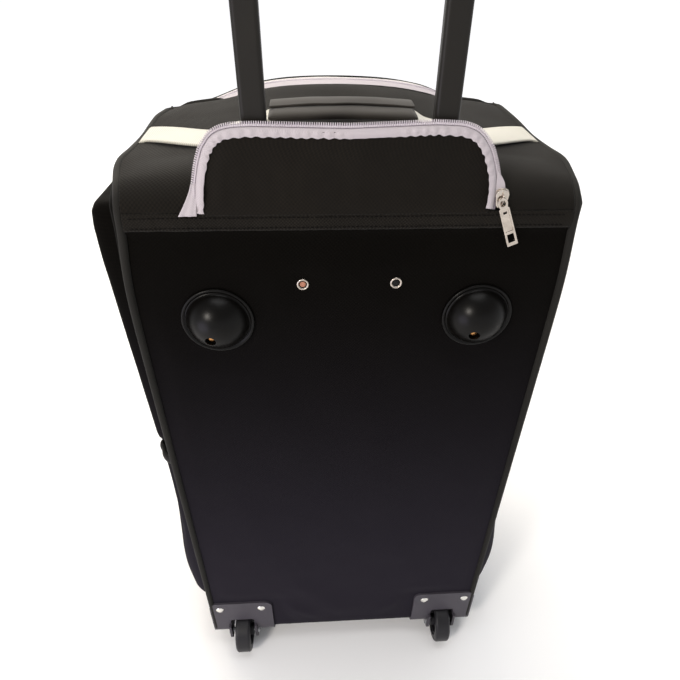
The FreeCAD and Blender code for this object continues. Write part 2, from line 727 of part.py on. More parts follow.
def loop_run(z, mid_y):
    """Webbing through the wrap, down to the sewn strips at both ends."""
    y = mid_y - loop_w / 2
    near = arch_height(web_inner) + web_t + web_rest
    end = arch_height(loop_end) + web_t + web_rest
    level = wrap_half + loop_straight
    low = [V(loop_end, y, end), V(web_inner, y, near), V(level, y, z), V(-level, y, z),
           V(-web_inner, y, near), V(-loop_end, y, end)]
    high = [V(p.x, p.y, p.z + web_t) for p in reversed(low)]
    return prism(low + high, V(0, loop_w, 0))


def side_slider():
    """Slider and pull of the main zip on the right side."""
    z = seam_z - side_slider_down
    x = half_w - zip_sunk + touch
    y = body_d + zip_half_w
    half = slider_size[0] / 2
    slider = rounded_box(x, x + slider_size[1], y - half, y + half, z, z + slider_size[2],
                         side_slider_corner, "X")
    top = z + slider_size[2] / 2
    out = x + slider_size[1] + pull_gap
    pull = rounded_box(out, out + pull_size[1], y - pull_size[0] / 2, y + pull_size[0] / 2,
                       top - pull_size[2], top, pull_corner, "X")
    print("main_pull pivot", out + pull_size[1] / 2, y + back_y, top)
    return slider, pull


def zip_runners():
    """Sliders and pulls of the main zip and of the cover pocket's zip."""
    slider, pull = side_slider()
    y = front_y + slip_zip_t + touch
    z = seam_z - slip_zip_down
    half = slider_size[0] / 2
    x = slip_slider_x
    runner = rounded_box(x - slider_size[2] / 2, x + slider_size[2] / 2, y, y + slider_size[1],
                         z - half, z + half, slider_corner, "Y")
    out = y + slider_size[1] + pull_gap
    tab = rounded_box(x - pull_size[0] / 2, x + pull_size[0] / 2, out, out + pull_size[1],
                      z - pull_size[2], z, pull_corner, "Y")
    print("cover_pull pivot", x, out + pull_size[1] / 2 + back_y, z)
    return {
        "main_slider_right": slider,
        "main_pull_right": pull,
        "main_slider_left": mirrored(slider),
        "main_pull_left": mirrored(pull),
        "cover_slider": runner,
        "cover_pull": tab,
    }


def build():
    """Every node of the bag."""
    nodes = {}
    makers = (body_panels, front_sill, main_zip, cover, cover_zip, side_pockets, boards_and_lining,
              stow_well, trolley, wheels, front_feet, back_hardware, flap, webbing, zip_runners)
    for maker in makers:
        nodes.update(maker())
    for index, level in enumerate(("lower", "middle", "upper")):
        nodes["ball_cradle_" + level] = ball_cradle(index)
    return nodes


os.makedirs("parts", exist_ok=True)
for node, piece in build().items():
    piece.translate(V(0, back_y, 0))
    piece.exportStep("parts/" + node + ".step")
print("back_y", back_y, "front", total_front + back_y)
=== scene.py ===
import math
import bmesh
import bpy
from mathutils import Matrix, Vector, noise


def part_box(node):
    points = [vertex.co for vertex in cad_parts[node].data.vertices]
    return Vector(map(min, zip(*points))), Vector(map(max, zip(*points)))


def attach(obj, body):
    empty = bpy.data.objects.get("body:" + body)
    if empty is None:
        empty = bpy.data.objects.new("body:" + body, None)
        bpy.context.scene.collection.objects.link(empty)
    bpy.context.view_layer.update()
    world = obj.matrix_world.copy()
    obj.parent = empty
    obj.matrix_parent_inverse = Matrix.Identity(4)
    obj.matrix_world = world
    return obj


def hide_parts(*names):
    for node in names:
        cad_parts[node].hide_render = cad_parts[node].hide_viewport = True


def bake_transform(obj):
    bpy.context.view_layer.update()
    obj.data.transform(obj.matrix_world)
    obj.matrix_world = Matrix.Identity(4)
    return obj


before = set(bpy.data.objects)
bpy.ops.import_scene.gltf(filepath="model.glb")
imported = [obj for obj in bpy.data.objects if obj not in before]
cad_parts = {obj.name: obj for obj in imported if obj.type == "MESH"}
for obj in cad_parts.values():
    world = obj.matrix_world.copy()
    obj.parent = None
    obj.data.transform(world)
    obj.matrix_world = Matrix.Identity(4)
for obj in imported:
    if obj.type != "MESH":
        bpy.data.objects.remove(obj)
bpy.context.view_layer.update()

# Soft rolling bag for bowling balls. All sizes below are millimetres: X across the bag, Y from the
# back panel towards the front, Z up from the floor. at() turns them into the frame's metres.
MM = 0.001
BACK_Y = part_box("back_panel")[0].y
HALF_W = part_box("side_panel_right")[1].x / MM
SEAM_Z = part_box("back_panel")[1].z / MM
CROWN_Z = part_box("top_panel")[1].z / MM - 8.0
UNDER_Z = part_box("bottom_panel")[0].z / MM
TUB_D = (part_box("side_panel_left")[1].y - BACK_Y) / MM
COVER_Y = (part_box("cover_face")[1].y - BACK_Y) / MM
COVER_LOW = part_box("cover_face")[0].z / MM
EDGE_Z = 659.0          # top of the piped side edges
HEEL_R = 18.0           # rolled bottom back edge
SHOULDER_R = 26.0       # roll of the side edges over the upper back corners
SAG = 6.0               # how far the top has sunk in its middle
CURL = 9.0              # width of the side cloth that curls in to the piping
PIPE_R = 3.4            # piping of the side seams
PIPE_IN = 5.5           # how far it is set in from the corner
TAPE = 0.5              # thickness of the flap's zip tape
COIL = 1.9              # width of half a zip's coil
BUMPER = (110, 552)     # X and Z of the bumpers' centres on the back panel
EYELET = (38, 585)      # the same for the two eyelets
FORK_X = (119, 160)     # the cloth is cut away here for the wheel forks
UPPER_OPENING_Z = 600   # opening of the upper left pocket
HANDLE_Y = 125.0        # middle line of the carry handle


def at(x, y, z):
    """A place on the bag, in the frame's metres."""
    return Vector((x * MM, BACK_Y + y * MM, z * MM))


def local(node):
    """A CAD node's corners in this script's millimetres."""
    lo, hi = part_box(node)
    shift = Vector((0, BACK_Y, 0))
    return (lo - shift) / MM, (hi - shift) / MM


# ---------------------------------------------------------------- materials

def linear(hex_colour):
    """sRGB hex to linear RGBA."""
    parts = [int(hex_colour[i:i + 2], 16) / 255 for i in (1, 3, 5)]
    return [c / 12.92 if c <= 0.04045 else ((c + 0.055) / 1.055) ** 2.4 for c in parts] + [1.0]


def add(owner, kind, inputs=None, **settings):
    """Adds a node to a material or the world. inputs holds a socket or a number for each of its sockets."""
    tree = owner.node_tree
    node = tree.nodes.new(kind)
    for name, value in settings.items():
        if hasattr(node, name):
            setattr(node, name, value)
        else:
            node.inputs[name.replace("_", " ")].default_value = value
    for socket, source in (inputs or {}).items():
        if isinstance(source, bpy.types.NodeSocket):
            tree.links.new(source, node.inputs[socket])
        else:
            node.inputs[socket].default_value = source
    return node


def reckon(owner, operation, *values):
    """Sum, product or sine of sockets and numbers."""
    return add(owner, "ShaderNodeMath", dict(enumerate(values)), operation=operation).outputs[0]


def feed(shader, **sources):
    """Links sockets to a shader's inputs."""
    for name, source in sources.items():
        shader.id_data.links.new(source, shader.inputs[name.replace("_", " ")])


def new_material(name, **settings):
    """Material with a Principled shader."""
    material = bpy.data.materials.new(name)
    material.use_nodes = True
    shader = material.node_tree.nodes["Principled BSDF"]
    for key, value in settings.items():
        shader.inputs[key.replace("_", " ")].default_value = value
    return material, shader


def mix_colour(material, factor, low, high):
    """Blends two hex colours by a factor socket."""
    ramp = add(material, "ShaderNodeValToRGB", {"Fac": factor})
    ramp.color_ramp.elements[0].color = linear(low)
    ramp.color_ramp.elements[1].color = linear(high)
    return ramp.outputs["Color"]


def cloudy(material, place, scale, **settings):
    """Noise over the object, as a factor."""
    return add(material, "ShaderNodeTexNoise", {"Vector": place}, Scale=scale, **settings).outputs[0]


def emboss(material, shader, height, strength, distance):
    """Fine relief of a surface. distance is in metres."""
    bump = add(material, "ShaderNodeBump", {"Height": height}, Strength=strength, Distance=distance)
    feed(shader, Normal=bump.outputs[0])


def wear(material, shader, cloud, smoothest, roughest):
    """Uneven roughness, as hands and the floor leave it."""
    worn = add(material, "ShaderNodeMapRange", {"Value": cloud}, To_Min=smoothest, To_Max=roughest)
    feed(shader, Roughness=worn.outputs[0])


def woven(name, low, high, pitch, rough=0.8, sheen=0.04, depth=0.25, painted_bounce_tint=None, gloss=0.12):
    """Plain-weave cloth: warp and weft rise in turn, so the surface breaks light into small grains.

    tint is painted bounce light from the floor: the colour that the cloth fades to near it."""
    material, shader = new_material(name, Roughness=rough, Sheen_Weight=sheen, Sheen_Roughness=0.45,
                                    Specular_IOR_Level=gloss)
    uv = add(material, "ShaderNodeUVMap", uv_map="cloth").outputs["UV"]
    scale = add(material, "ShaderNodeVectorMath", {0: uv}, operation="SCALE", Scale=math.pi / (pitch * MM))
    split = add(material, "ShaderNodeSeparateXYZ", {0: scale.outputs[0]})
    warp, weft = [reckon(material, "SINE", split.outputs[i]) for i in (0, 1)]
    lift = reckon(material, "MULTIPLY_ADD", reckon(material, "MULTIPLY", warp, weft), 0.5, 0.5)
    place = add(material, "ShaderNodeTexCoord").outputs["Object"]
    dust = reckon(material, "MULTIPLY", cloudy(material, place, 9.0, Detail=5.0, Roughness=0.6), lift)
    colour = mix_colour(material, dust, low, high)
    # painted bounce light: the colour lightens towards the tint near the floor
    if painted_bounce_tint:
        height = add(material, "ShaderNodeSeparateXYZ", {0: place}).outputs["Z"]
        fade = add(material, "ShaderNodeMapRange", {"Value": height}, interpolation_type="SMOOTHSTEP",
                   From_Min=0.62, From_Max=0.08, To_Max=0.75)
        inputs = {"Factor": fade.outputs[0], 6: colour, 7: linear(painted_bounce_tint)}
        colour = add(material, "ShaderNodeMix", inputs, data_type="RGBA").outputs[2]
    feed(shader, Base_Color=colour)
    grain = cloudy(material, place, 900.0, Detail=2.0)
    emboss(material, shader, reckon(material, "ADD", grain, lift), depth, 0.0004)
    return material


def moulded(name, low, high, rough, grain=1400.0, depth=0.12, gloss=0.3):
    """Moulded plastic, rubber or foam: a faint cloudy tone over a fine leather-like grain."""
    material, shader = new_material(name, Roughness=rough, Specular_IOR_Level=gloss)
    place = add(material, "ShaderNodeTexCoord").outputs["Object"]
    cloud = cloudy(material, place, 30.0, Detail=4.0)
    feed(shader, Base_Color=mix_colour(material, cloud, low, high))
    emboss(material, shader, cloudy(material, place, grain, Detail=2.0), depth, 0.0003)
    wear(material, shader, cloud, rough - 0.07, rough + 0.09)
    return material


def metal(name, low, high, rough, streak=(1.0, 1.0, 1.0)):
    """Bare or plated metal with a soft cloud of handling marks."""
    material, shader = new_material(name, Metallic=1.0, Roughness=rough)
    place = add(material, "ShaderNodeTexCoord").outputs["Object"]
    spread = add(material, "ShaderNodeMapping", {"Vector": place, "Scale": streak}).outputs[0]
    cloud = cloudy(material, spread, 220.0, Detail=3.0)
    feed(shader, Base_Color=mix_colour(material, cloud, low, high))
    wear(material, shader, cloud, rough * 0.7, rough * 1.4)
    return material


def ribbed(name, low, high, rib):
    """Polypropylene webbing: fine ribs run along it, and the yarns glint."""
    material, shader = new_material(name, Roughness=0.7, Sheen_Weight=0.3)
    uv = add(material, "ShaderNodeUVMap", uv_map="cloth").outputs["UV"]
    split = add(material, "ShaderNodeSeparateXYZ", {0: uv})
    across = [reckon(material, "MULTIPLY", split.outputs[way], 2 * math.pi / pitch)
              for way, pitch in (("X", rib * MM), ("Y", rib * MM * 0.62))]
    ribs, yarns = [reckon(material, "SINE", socket) for socket in across]
    both = reckon(material, "MULTIPLY_ADD", yarns, 0.15, reckon(material, "MULTIPLY_ADD", ribs, 0.35, 0.5))
    feed(shader, Base_Color=mix_colour(material, both, low, high))
    emboss(material, shader, both, 0.5, 0.0004)
    return material


# 600-denier oxford polyester; its 0.6 mm threads are drawn near 1.6 mm so that the weave can be seen
# the body cloth lightens to a violet grey near the floor: painted bounce light from the floor
oxford = woven("oxford_polyester", "#040302", "#0c0a07", 1.6, painted_bounce_tint="#26232b", gloss=0.03, sheen=0.02)
# the same cloth drawn lighter for the top: painted light from above, where the back and sides are in shade
oxford_lit_top = woven("oxford_polyester_painted_lit_top", "#0a0806", "#221e17", 1.6, rough=0.9, depth=0.45, gloss=0.1,
                   sheen=0.06)
flap_oxford = woven("oxford_polyester_flap", "#0a0806", "#201b14", 1.5, gloss=0.1)
# binding of the top seam: the same yarn, worn lighter where it is folded and stitched
seam_tape = woven("oxford_binding", "#0a0806", "#28241e", 1.3, rough=0.85, depth=0.6, gloss=0.1)
gusset_cloth = woven("pale_oxford", "#b9b4b0", "#e4e0dc", 1.6)
lining_cloth = woven("lining_taffeta", "#1b1c20", "#303138", 1.0, rough=0.6)
# neoprene sleeve of the carry handle: laminated foam, smoother than the body cloth
neoprene = woven("neoprene_wrap", "#25221f", "#45413b", 1.0, rough=0.8, depth=0.12, sheen=0.15)
piping_cord = woven("piping_tape", "#11100e", "#2f2d29", 0.9, rough=0.75)
elastic = woven("elastic_binding", "#0d0c0c", "#23211f", 1.2, rough=0.7)
zip_tape = woven("zip_tape", "#a39b9f", "#cec6c9", 0.9, sheen=0.1, depth=0.35, gloss=0.25)
zip_tape_dark = woven("zip_tape_shade", "#6f6770", "#989098", 0.9)
# nylon coil of the zips, pale and slightly glossy
zip_coil = moulded("nylon_coil", "#a39aa1", "#c8c0c5", 0.45, grain=2500.0)
thread = moulded("black_thread", "#060505", "#12100f", 0.8, grain=3000.0, gloss=0.06)
webbing = ribbed("polypropylene_webbing", "#a29e90", "#d2cec1", 2.0)
corner_abs = moulded("grained_abs", "#343138", "#454148", 0.5, depth=0.3)
bumper_abs = moulded("polished_abs", "#040303", "#080705", 0.3, grain=900.0, depth=0.03, gloss=0.14)
tyre_pu = moulded("polyurethane_tyre", "#131214", "#232226", 0.45, grain=700.0)
hub_pp = moulded("polypropylene_hub", "#19181b", "#2a292d", 0.4)
grip_rubber = moulded("soft_touch_grip", "#100f0f", "#1d1b1b", 0.55)
button_abs = moulded("button_abs", "#3a393b", "#4d4b4e", 0.35)
board_pe = moulded("polyethylene_board", "#141416", "#222226", 0.5)
foam = moulded("eva_foam", "#1d1e22", "#303138", 0.9, grain=350.0, depth=0.5)
shadow = moulded("dark_recess", "#050505", "#0a0a0a", 0.8)
# trolley tubes: brown-black powder coat over steel, satin with a fine orange peel
tube_coat = moulded("powder_coat", "#0e0b07", "#16120c", 0.42, grain=500.0, depth=0.06, gloss=0.25)
nickel = metal("nickel_plate", "#a2988e", "#d3c9be", 0.24)
nickel_warm = metal("nickel_plate_brushed", "#746256", "#9b8777", 0.34)
rivet_steel = metal("bright_rivet", "#c9c7c0", "#f3f1ea", 0.22)
brass = metal("brass_screw", "#8a5a34", "#d8a469", 0.35)
copper = metal("copper_wash", "#7d4f3f", "#c78f78", 0.3)
steel = metal("zinc_steel", "#7d7f82", "#b7b9bb", 0.35)
outer_alu = metal("anodised_aluminium", "#6e7073", "#9ea0a3", 0.35, (0.2, 0.2, 12.0))


# ---------------------------------------------------------------- mesh helpers

def build(name, verts, faces, material, uvs=None):
    """Mesh object from metres, with an optional UV per vertex in metres of cloth."""
    mesh = bpy.data.meshes.new(name)
    mesh.from_pydata([tuple(v) for v in verts], [], faces)
    layer = mesh.uv_layers.new(name="cloth")
    if uvs:
        for loop in mesh.loops:
            layer.data[loop.index].uv = uvs[loop.vertex_index]
    mesh.materials.append(material)
    mesh.update()
    piece = bpy.data.objects.new(name, mesh)
    bpy.context.scene.collection.objects.link(piece)
    for face in mesh.polygons:
        face.use_smooth = True
    return piece


def grid(name, nu, nv, place, material, keep=None, closed=False):
    """Sheet over u, v in 0..1. place gives millimetres. Cloth UVs follow the sheet's real lengths."""
    pts = [[Vector(place(i / nu, j / nv)) for i in range(nu + (0 if closed else 1))] for j in range(nv + 1)]
    cols = len(pts[0])
    verts = [at(*p) for row in pts for p in row]
    uvs = []
    run_v = [0.0] * cols
    for j, row in enumerate(pts):
        run_u = 0.0
        for i, p in enumerate(row):
            if i:
                run_u += (p - row[i - 1]).length
            if j:
                run_v[i] += (p - pts[j - 1][i]).length
            uvs.append((run_u * MM, run_v[i] * MM))
    faces = []
    for j in range(nv):
        for i in range(nu):
            k = (i + 1) % cols
            if keep is None or keep((pts[j][i] + pts[j + 1][k]) / 2):
                faces.append((j * cols + i, j * cols + k, (j + 1) * cols + k, (j + 1) * cols + i))
    piece = build(name, verts, faces, material, uvs)
    drop_loose(piece)
    return piece


def drop_loose(piece):
    """Removes vertices that no face uses."""
    used = set(v for f in piece.data.polygons for v in f.vertices)
    if len(used) == len(piece.data.vertices):
        return
    bm = bmesh.new()
    bm.from_mesh(piece.data)
    bm.verts.ensure_lookup_table()
    bmesh.ops.delete(bm, geom=[v for v in bm.verts if v.index not in used], context="VERTS")
    bm.to_mesh(piece.data)
    bm.free()


def thicken(piece, thick, offset=-1.0):
    """Gives a sheet its cloth thickness."""
    mod = piece.modifiers.new("cloth_thickness", "SOLIDIFY")
    mod.thickness = thick * MM
    mod.offset = offset
    mod.use_even_offset = False
    return piece


def round_off(piece, width, segments=3, angle=0.6):
    """Rounds a hard piece's edges."""
    mod = piece.modifiers.new("rounded_edges", "BEVEL")
    mod.width = width * MM
    mod.segments = segments
    mod.limit_method = "ANGLE"
    mod.angle_limit = angle
    return piece


def resample(points, step):
    """Points an equal step apart along a polyline, in millimetres."""
    pts = [Vector(p) for p in points]
    lengths = [0.0]
    for a, b in zip(pts, pts[1:]):
        lengths.append(lengths[-1] + (b - a).length)
    count = max(2, round(lengths[-1] / step))
    out = []
    k = 0
    for i in range(count + 1):
        d = lengths[-1] * i / count
        while k < len(pts) - 2 and lengths[k + 1] < d:
            k += 1
        span = lengths[k + 1] - lengths[k]
        out.append(pts[k].lerp(pts[k + 1], (d - lengths[k]) / span if span else 0))
    return out


def smooth_path(points, step):
    """A rounder version of a polyline, with equal steps."""
    pts = resample(points, 2.0)
    for _ in range(3):
        pts = [pts[0]] + [(a + b * 2 + c) / 4 for a, b, c in zip(pts, pts[1:], pts[2:])] + [pts[-1]]
    return resample(pts, step)


def frames_along(points, normal):
    """Tangent, side and normal at each point of a path. normal is a function of the point."""
    result = []
    for i, p in enumerate(points):
        tangent = (points[min(i + 1, len(points) - 1)] - points[max(i - 1, 0)]).normalized()
        side = tangent.cross(Vector(normal(p))).normalized()
        result.append((tangent, side, side.cross(tangent).normalized()))
    return result


def tube_faces(rows, around):
    """Faces that join rings of vertices, one after the other."""
    steps = [(k, (k + 1) % around) for k in range(around)]
    return [(low + k, low + l, low + around + l, low + around + k)
            for low in range(0, (rows - 1) * around, around) for k, l in steps]


def end_faces(rows, around):
    """Faces that close the first and the last ring."""
    return [tuple(reversed(range(around))), tuple((rows - 1) * around + k for k in range(around))]


def sweep(name, points, section, material, normal):
    """Extrudes a section (pairs: side, up) along a path. Millimetres."""
    verts = []
    uvs = []
    run = 0.0
    for i, (p, row) in enumerate(zip(points, frames_along(points, normal))):
        if i:
            run += (p - points[i - 1]).length
        around = 0.0
        for k, (s, u) in enumerate(section):
            verts.append(at(*(p + row[1] * s + row[2] * u)))
            if k:
                around += math.dist(section[k], section[k - 1])
            uvs.append((run * MM, around * MM))
    size = (len(points), len(section))
    return build(name, verts, tube_faces(*size) + end_faces(*size), material, uvs)


def circle(r, count=10):
    """Round section."""
    angles = [2 * math.pi * k / count for k in range(count)]
    return [(r * math.cos(a), r * math.sin(a)) for a in angles]


def lathe(name, profile, centre, axis, material, sides=48):
    """Turned piece: profile pairs (radius, distance along the axis)."""
    axis = Vector(axis).normalized()
    side = axis.orthogonal().normalized()
    other = axis.cross(side)
    verts = []
    for r, d in profile:
        for k in range(sides):
            a = 2 * math.pi * k / sides
            verts.append(at(*(Vector(centre) + axis * d + (side * math.cos(a) + other * math.sin(a)) * r)))
    size = (len(profile), sides)
    return build(name, verts, tube_faces(*size) + end_faces(*size), material)


def join(name, pieces):
    """One object from several pieces, with their modifiers applied."""
    verts = []
    faces = []
    uvs = []
    material = pieces[0].data.materials[0]
    graph = bpy.context.evaluated_depsgraph_get()
    for piece in pieces:
        mesh = bpy.data.meshes.new_from_object(piece.evaluated_get(graph))
        start = len(verts)
        verts += [v.co.copy() for v in mesh.vertices]
        layer = mesh.uv_layers.active
        own = [(0.0, 0.0)] * len(mesh.vertices)
        for loop in mesh.loops:
            own[loop.vertex_index] = tuple(layer.data[loop.index].uv)
        uvs += own
        faces += [tuple(start + v for v in f.vertices) for f in mesh.polygons]
        bpy.data.meshes.remove(mesh)
        bpy.data.objects.remove(piece)
    return build(name, verts, faces, material, uvs)


STITCH = 3.4        # from one stitch to the next
STITCH_LONG = 2.4
THREAD_R = 0.38


def stitches(name, points, normal):
    """Row of lockstitches: short raised beads of thread lying along a seam."""
    path = resample(points, STITCH)
    beads = ((-0.5, 0.25), (-0.3, 1.0), (0.0, 1.15), (0.3, 1.0), (0.5, 0.25))
    ring = circle(THREAD_R, 6)
    verts = []
    faces = []
    for p, (t, s, u) in zip(path, frames_along(path, normal)):
        base = len(verts)
        for d, k in beads:
            verts += [at(*(p + t * (d * STITCH_LONG) + s * (a * k) + u * (b * k * 0.8))) for a, b in ring]
        size = (len(beads), len(ring))
        faces += [tuple(base + v for v in face) for face in tube_faces(*size) + end_faces(*size)]
    return build(name, verts, faces, thread)


def ripple(x, y, seed, scale=0.02):
    """Slow random waviness between -1 and 1."""
    return noise.noise(Vector((x * scale, y * scale, seed * 7.3)))


def smooth(t):
    """Ease from 0 to 1."""
    t = max(0.0, min(1.0, t))
    return t * t * (3 - 2 * t)


def facing(x, y, z):
    """A normal that is the same all along a path."""
    return lambda p: (x, y, z)


UPWARDS, FORWARDS, BACKWARDS = facing(0, 0, 1), facing(0, 1, 0), facing(0, -1, 0)


def quarter_round(t):
    """Rises from 0 to 1 as a quarter circle does."""
    return math.sqrt(max(0.0, 1 - (1 - min(max(t, 0), 1.0)) ** 2))


def own(piece, body, slot, *nodes):
    """Attaches a finished piece to its body and hides the CAD nodes that it stands for; slot is not used."""
    if nodes:
        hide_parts(*nodes)
    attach(piece, body)
    return piece


# ---------------------------------------------------------------- the soft body's own shape

def heel(y):
    """Height of the rolled bottom back edge."""
    if y >= HEEL_R:
        return UNDER_Z
    return UNDER_Z + HEEL_R - math.sqrt(HEEL_R ** 2 - (HEEL_R - y) ** 2)


def edge_height(y, x=1.0):
    """Height of the piped side edge: it rolls over the shoulder. The left one sinks at the front."""
    roll = quarter_round(y / SHOULDER_R)
    bump = 3.0 * math.exp(-((y - 62) / 30) ** 2) - 1.5 * math.exp(-((y - 145) / 30) ** 2)
    bump -= (5.0 if x < 0 else 0.6) * smooth((y - 200) / 66)
    return SEAM_Z + (EDGE_Z - SEAM_Z + bump) * roll


def piped_half(side, y, z):
    """Half width between the pipings. The upper back corners are drawn in, the left one more."""
    corner = math.exp(-((z - SEAM_Z - 6) / 48) ** 2 - (y / 30) ** 2)
    return HALF_W - PIPE_IN + 3.5 * smooth((y - 20) / 50) - corner * (4.4 if side > 0 else 6.9)


def front_drop(x):
    """How far the top has sunk next to the front zip. The shoulders sink most."""
    return 1.5 + (3.6 if x > 0 else 5.2) * math.exp(-((abs(x) - 118) / 38) ** 2)


def corner_drop(x):
    """How much further the front zip sinks than the cloth at its rounded upper corners."""
    return 14.0 * smooth((abs(x) - 96) / 74)


def top_height(x, y):
    """Height of the top: it rolls up from the seam, sags in the middle and rises to the front zip."""
    run = 48 + 34 * (1 - (x / HALF_W) ** 2)
    roll = quarter_round(y / run)
    share = (x / HALF_W) ** 2
    arch = (CROWN_Z - EDGE_Z) * (1 - share)
    side = edge_height(y, x)
    base = SEAM_Z + (EDGE_Z - SEAM_Z) * roll
    level = base + (side - base) * share ** 2
    sag = SAG * (1 - share ** 3) * smooth((y - 12) / 60) * smooth((252 - y) / 70)
    dimple = 1.8 * ripple(x, y, 3, 0.018) * (1 - share ** 3)
    lip = (1.5 * (1 - share ** 4) - front_drop(x)) * smooth((y - 190) / 70)
    return level + arch * roll - sag + (dimple + lip) * roll


# A fold is a soft ridge between two places on the back: (x, z, x, z, width, height)
BACK_FOLDS = (
    (-92, 520, -30, 330, 26, 1.6), (18, 470, 52, 250, 24, 2.2), (96, 500, 120, 300, 30, 1.3),
    (-150, 560, -166, 330, 16, 1.4), (-92, 112, -30, 52, 9, 2.0), (-88, 92, -48, 44, 7, 1.4),
    (-66, 150, 10, 62, 14, 1.2), (94, 116, 40, 58, 10, 1.5), (-120, 300, -60, 130, 34, 1.8),
    (140, 420, 158, 180, 20, 1.4), (60, 240, 96, 120, 26, 1.6),
)


def fold_height(x, z):
    """Soft pull lines of the back cloth."""
    total = 0.0
    for ax, az, bx, bz, width, high in BACK_FOLDS:
        dx, dz = bx - ax, bz - az
        run = math.hypot(dx, dz)
        t = ((x - ax) * dx + (z - az) * dz) / run ** 2
        off = ((x - ax) * dz - (z - az) * dx) / run
        fade = smooth((t + 0.15) / 0.35) * smooth((1.2 - t) / 0.5)
        total += high * fade * math.exp(-(off / width) ** 2)
    return total


def back_relief(x, z):
    """How far the back cloth stands out of its plane."""
    inset = smooth((HALF_W - abs(x)) / 26) * smooth((SEAM_Z - 8 - z) / 40) * smooth((z - UNDER_Z) / 60)
    belly = 3.0 * inset * (1 - (x / HALF_W) ** 2)
    wave = 1.5 * ripple(x, z, 1, 0.011) + 0.7 * ripple(x, z, 2, 0.03)
    flat = 1.0
    for side in (-1, 1):
        flat *= smooth((math.hypot(x - side * BUMPER[0], z - BUMPER[1]) - 27) / 34)
        flat *= 0.25 + 0.75 * smooth((math.hypot(x - side * EYELET[0], z - EYELET[1]) - 4) / 22)
        flat *= smooth((math.hypot(max(0, 90 - side * x), max(0, z - 104)) - 2) / 24)
    hem = 1.3 * smooth((z - 628) / 3) * (1 + 0.35 * ripple(x, z * 0.2, 11, 0.12))
    return inset * flat * (belly + wave + fold_height(x, z)) + hem


def back_cloth():
    """Back panel with the pull lines of cloth that hangs between its seams and hardware."""
    rise = SEAM_Z - UNDER_Z - HEEL_R
    arc = HEEL_R * math.pi / 2
    total = rise + arc

    def place(u, v):
        s = v * total
        if s < arc:
            a = s / HEEL_R
            y = HEEL_R - HEEL_R * math.sin(a)
            z = UNDER_Z + HEEL_R - HEEL_R * math.cos(a)
            return piped_half(u - 0.5, y, z) * (2 * u - 1), y, z
        z = UNDER_Z + HEEL_R + s - arc
        x = piped_half(u - 0.5, 0, z) * (2 * u - 1)
        return x, -back_relief(x, z) - 0.2, z

    def clear(p):
        return not (FORK_X[0] < abs(p.x) < FORK_X[1] and p.z < 70)

    piece = grid("back_cloth", 144, 220, place, oxford, clear)
    own(thicken(piece, 2.0), "bag", "polyester", "back_panel")


def underside():
    """Bottom cloth with room for the wheel forks."""
    def place(u, v):
        y = HEEL_R + (TUB_D - HEEL_R) * v
        x = piped_half(u - 0.5, y, UNDER_Z) * (2 * u - 1)
        return x, y, UNDER_Z + 0.8 * ripple(x, v * 250, 5)

    def clear(p):
        return not (FORK_X[0] < abs(p.x) < FORK_X[1] and p.y < 42)

    piece = grid("base_cloth", 72, 60, place, oxford, clear)
    own(thicken(piece, 2.0), "bag", "polyester", "bottom_panel")


# Mouth of the stow pocket in plan: half width, reach from the back panel and corner radius
MOUTH_HALF = 113.0
MOUTH_REACH = (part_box("stow_mouth_zip")[1].y - BACK_Y) / MM - 9.0
MOUTH_R = 26.0


def ease_ends(u):
    """Steps that start and end small."""
    return 0.5 * (2 * u) ** 1.6 if u < 0.5 else 1 - 0.5 * (2 - 2 * u) ** 1.6


def mouth_outline(grow, count):
    """The U of the stow pocket's mouth in plan, from the left end of the seam to the right end."""
    m = MOUTH_HALF + grow
    reach = MOUTH_REACH + grow
    r = MOUTH_R + grow
    pts = [Vector((-m, 0.0, 0.0))]
    for start in (math.pi, math.pi / 2):
        x = -m + r if start > 2 else m - r
        for k in range(10):
            a = start - math.pi / 2 * k / 9
            pts.append(Vector((x + r * math.cos(a), reach - r + r * math.sin(a), 0.0)))
    pts.append(Vector((m, 0.0, 0.0)))
    fine = resample(pts, 0.5)
    return [fine[round(ease_ends(k / count) * (len(fine) - 1))] for k in range(count + 1)]


def top_cloth():
    """Domed top, drawn as rings that spread from the pocket's mouth to the piped edges."""
    n = 150
    inner = mouth_outline(0, n)
    front = TUB_D - 8

    def outer(t):
        corners = ((0.0, -1, 0.0), (0.36, -1, front), (0.64, 1, front), (1.0, 1, 0.0))
        for (ta, xa, ya), (tb, xb, yb) in zip(corners, corners[1:]):
            if t <= tb:
                k = (t - ta) / (tb - ta)
                x = xa + (xb - xa) * k
                y = ya + (yb - ya) * k
                return x * piped_half(x, y, edge_height(y)), y
        return piped_half(1, 0, SEAM_Z), 0.0

    def place(u, v):
        p = inner[round(u * n)]
        q = outer(ease_ends(u))
        x = p.x + (q[0] - p.x) * v
        y = p.y + (q[1] - p.y) * v
        drop = 2.5 * (1 - smooth(v / 0.03)) * smooth(y / 12)
        drop += (corner_drop(x) + 1.5) * smooth((y - front + 7) / 7) * smooth((v - 0.9) / 0.1)
        return x, y, top_height(x, y) - drop

    piece = grid("top_cloth", n, 50, place, oxford_lit_top)
    own(thicken(piece, 2.2, 1.0), "bag", "polyester", "top_panel")


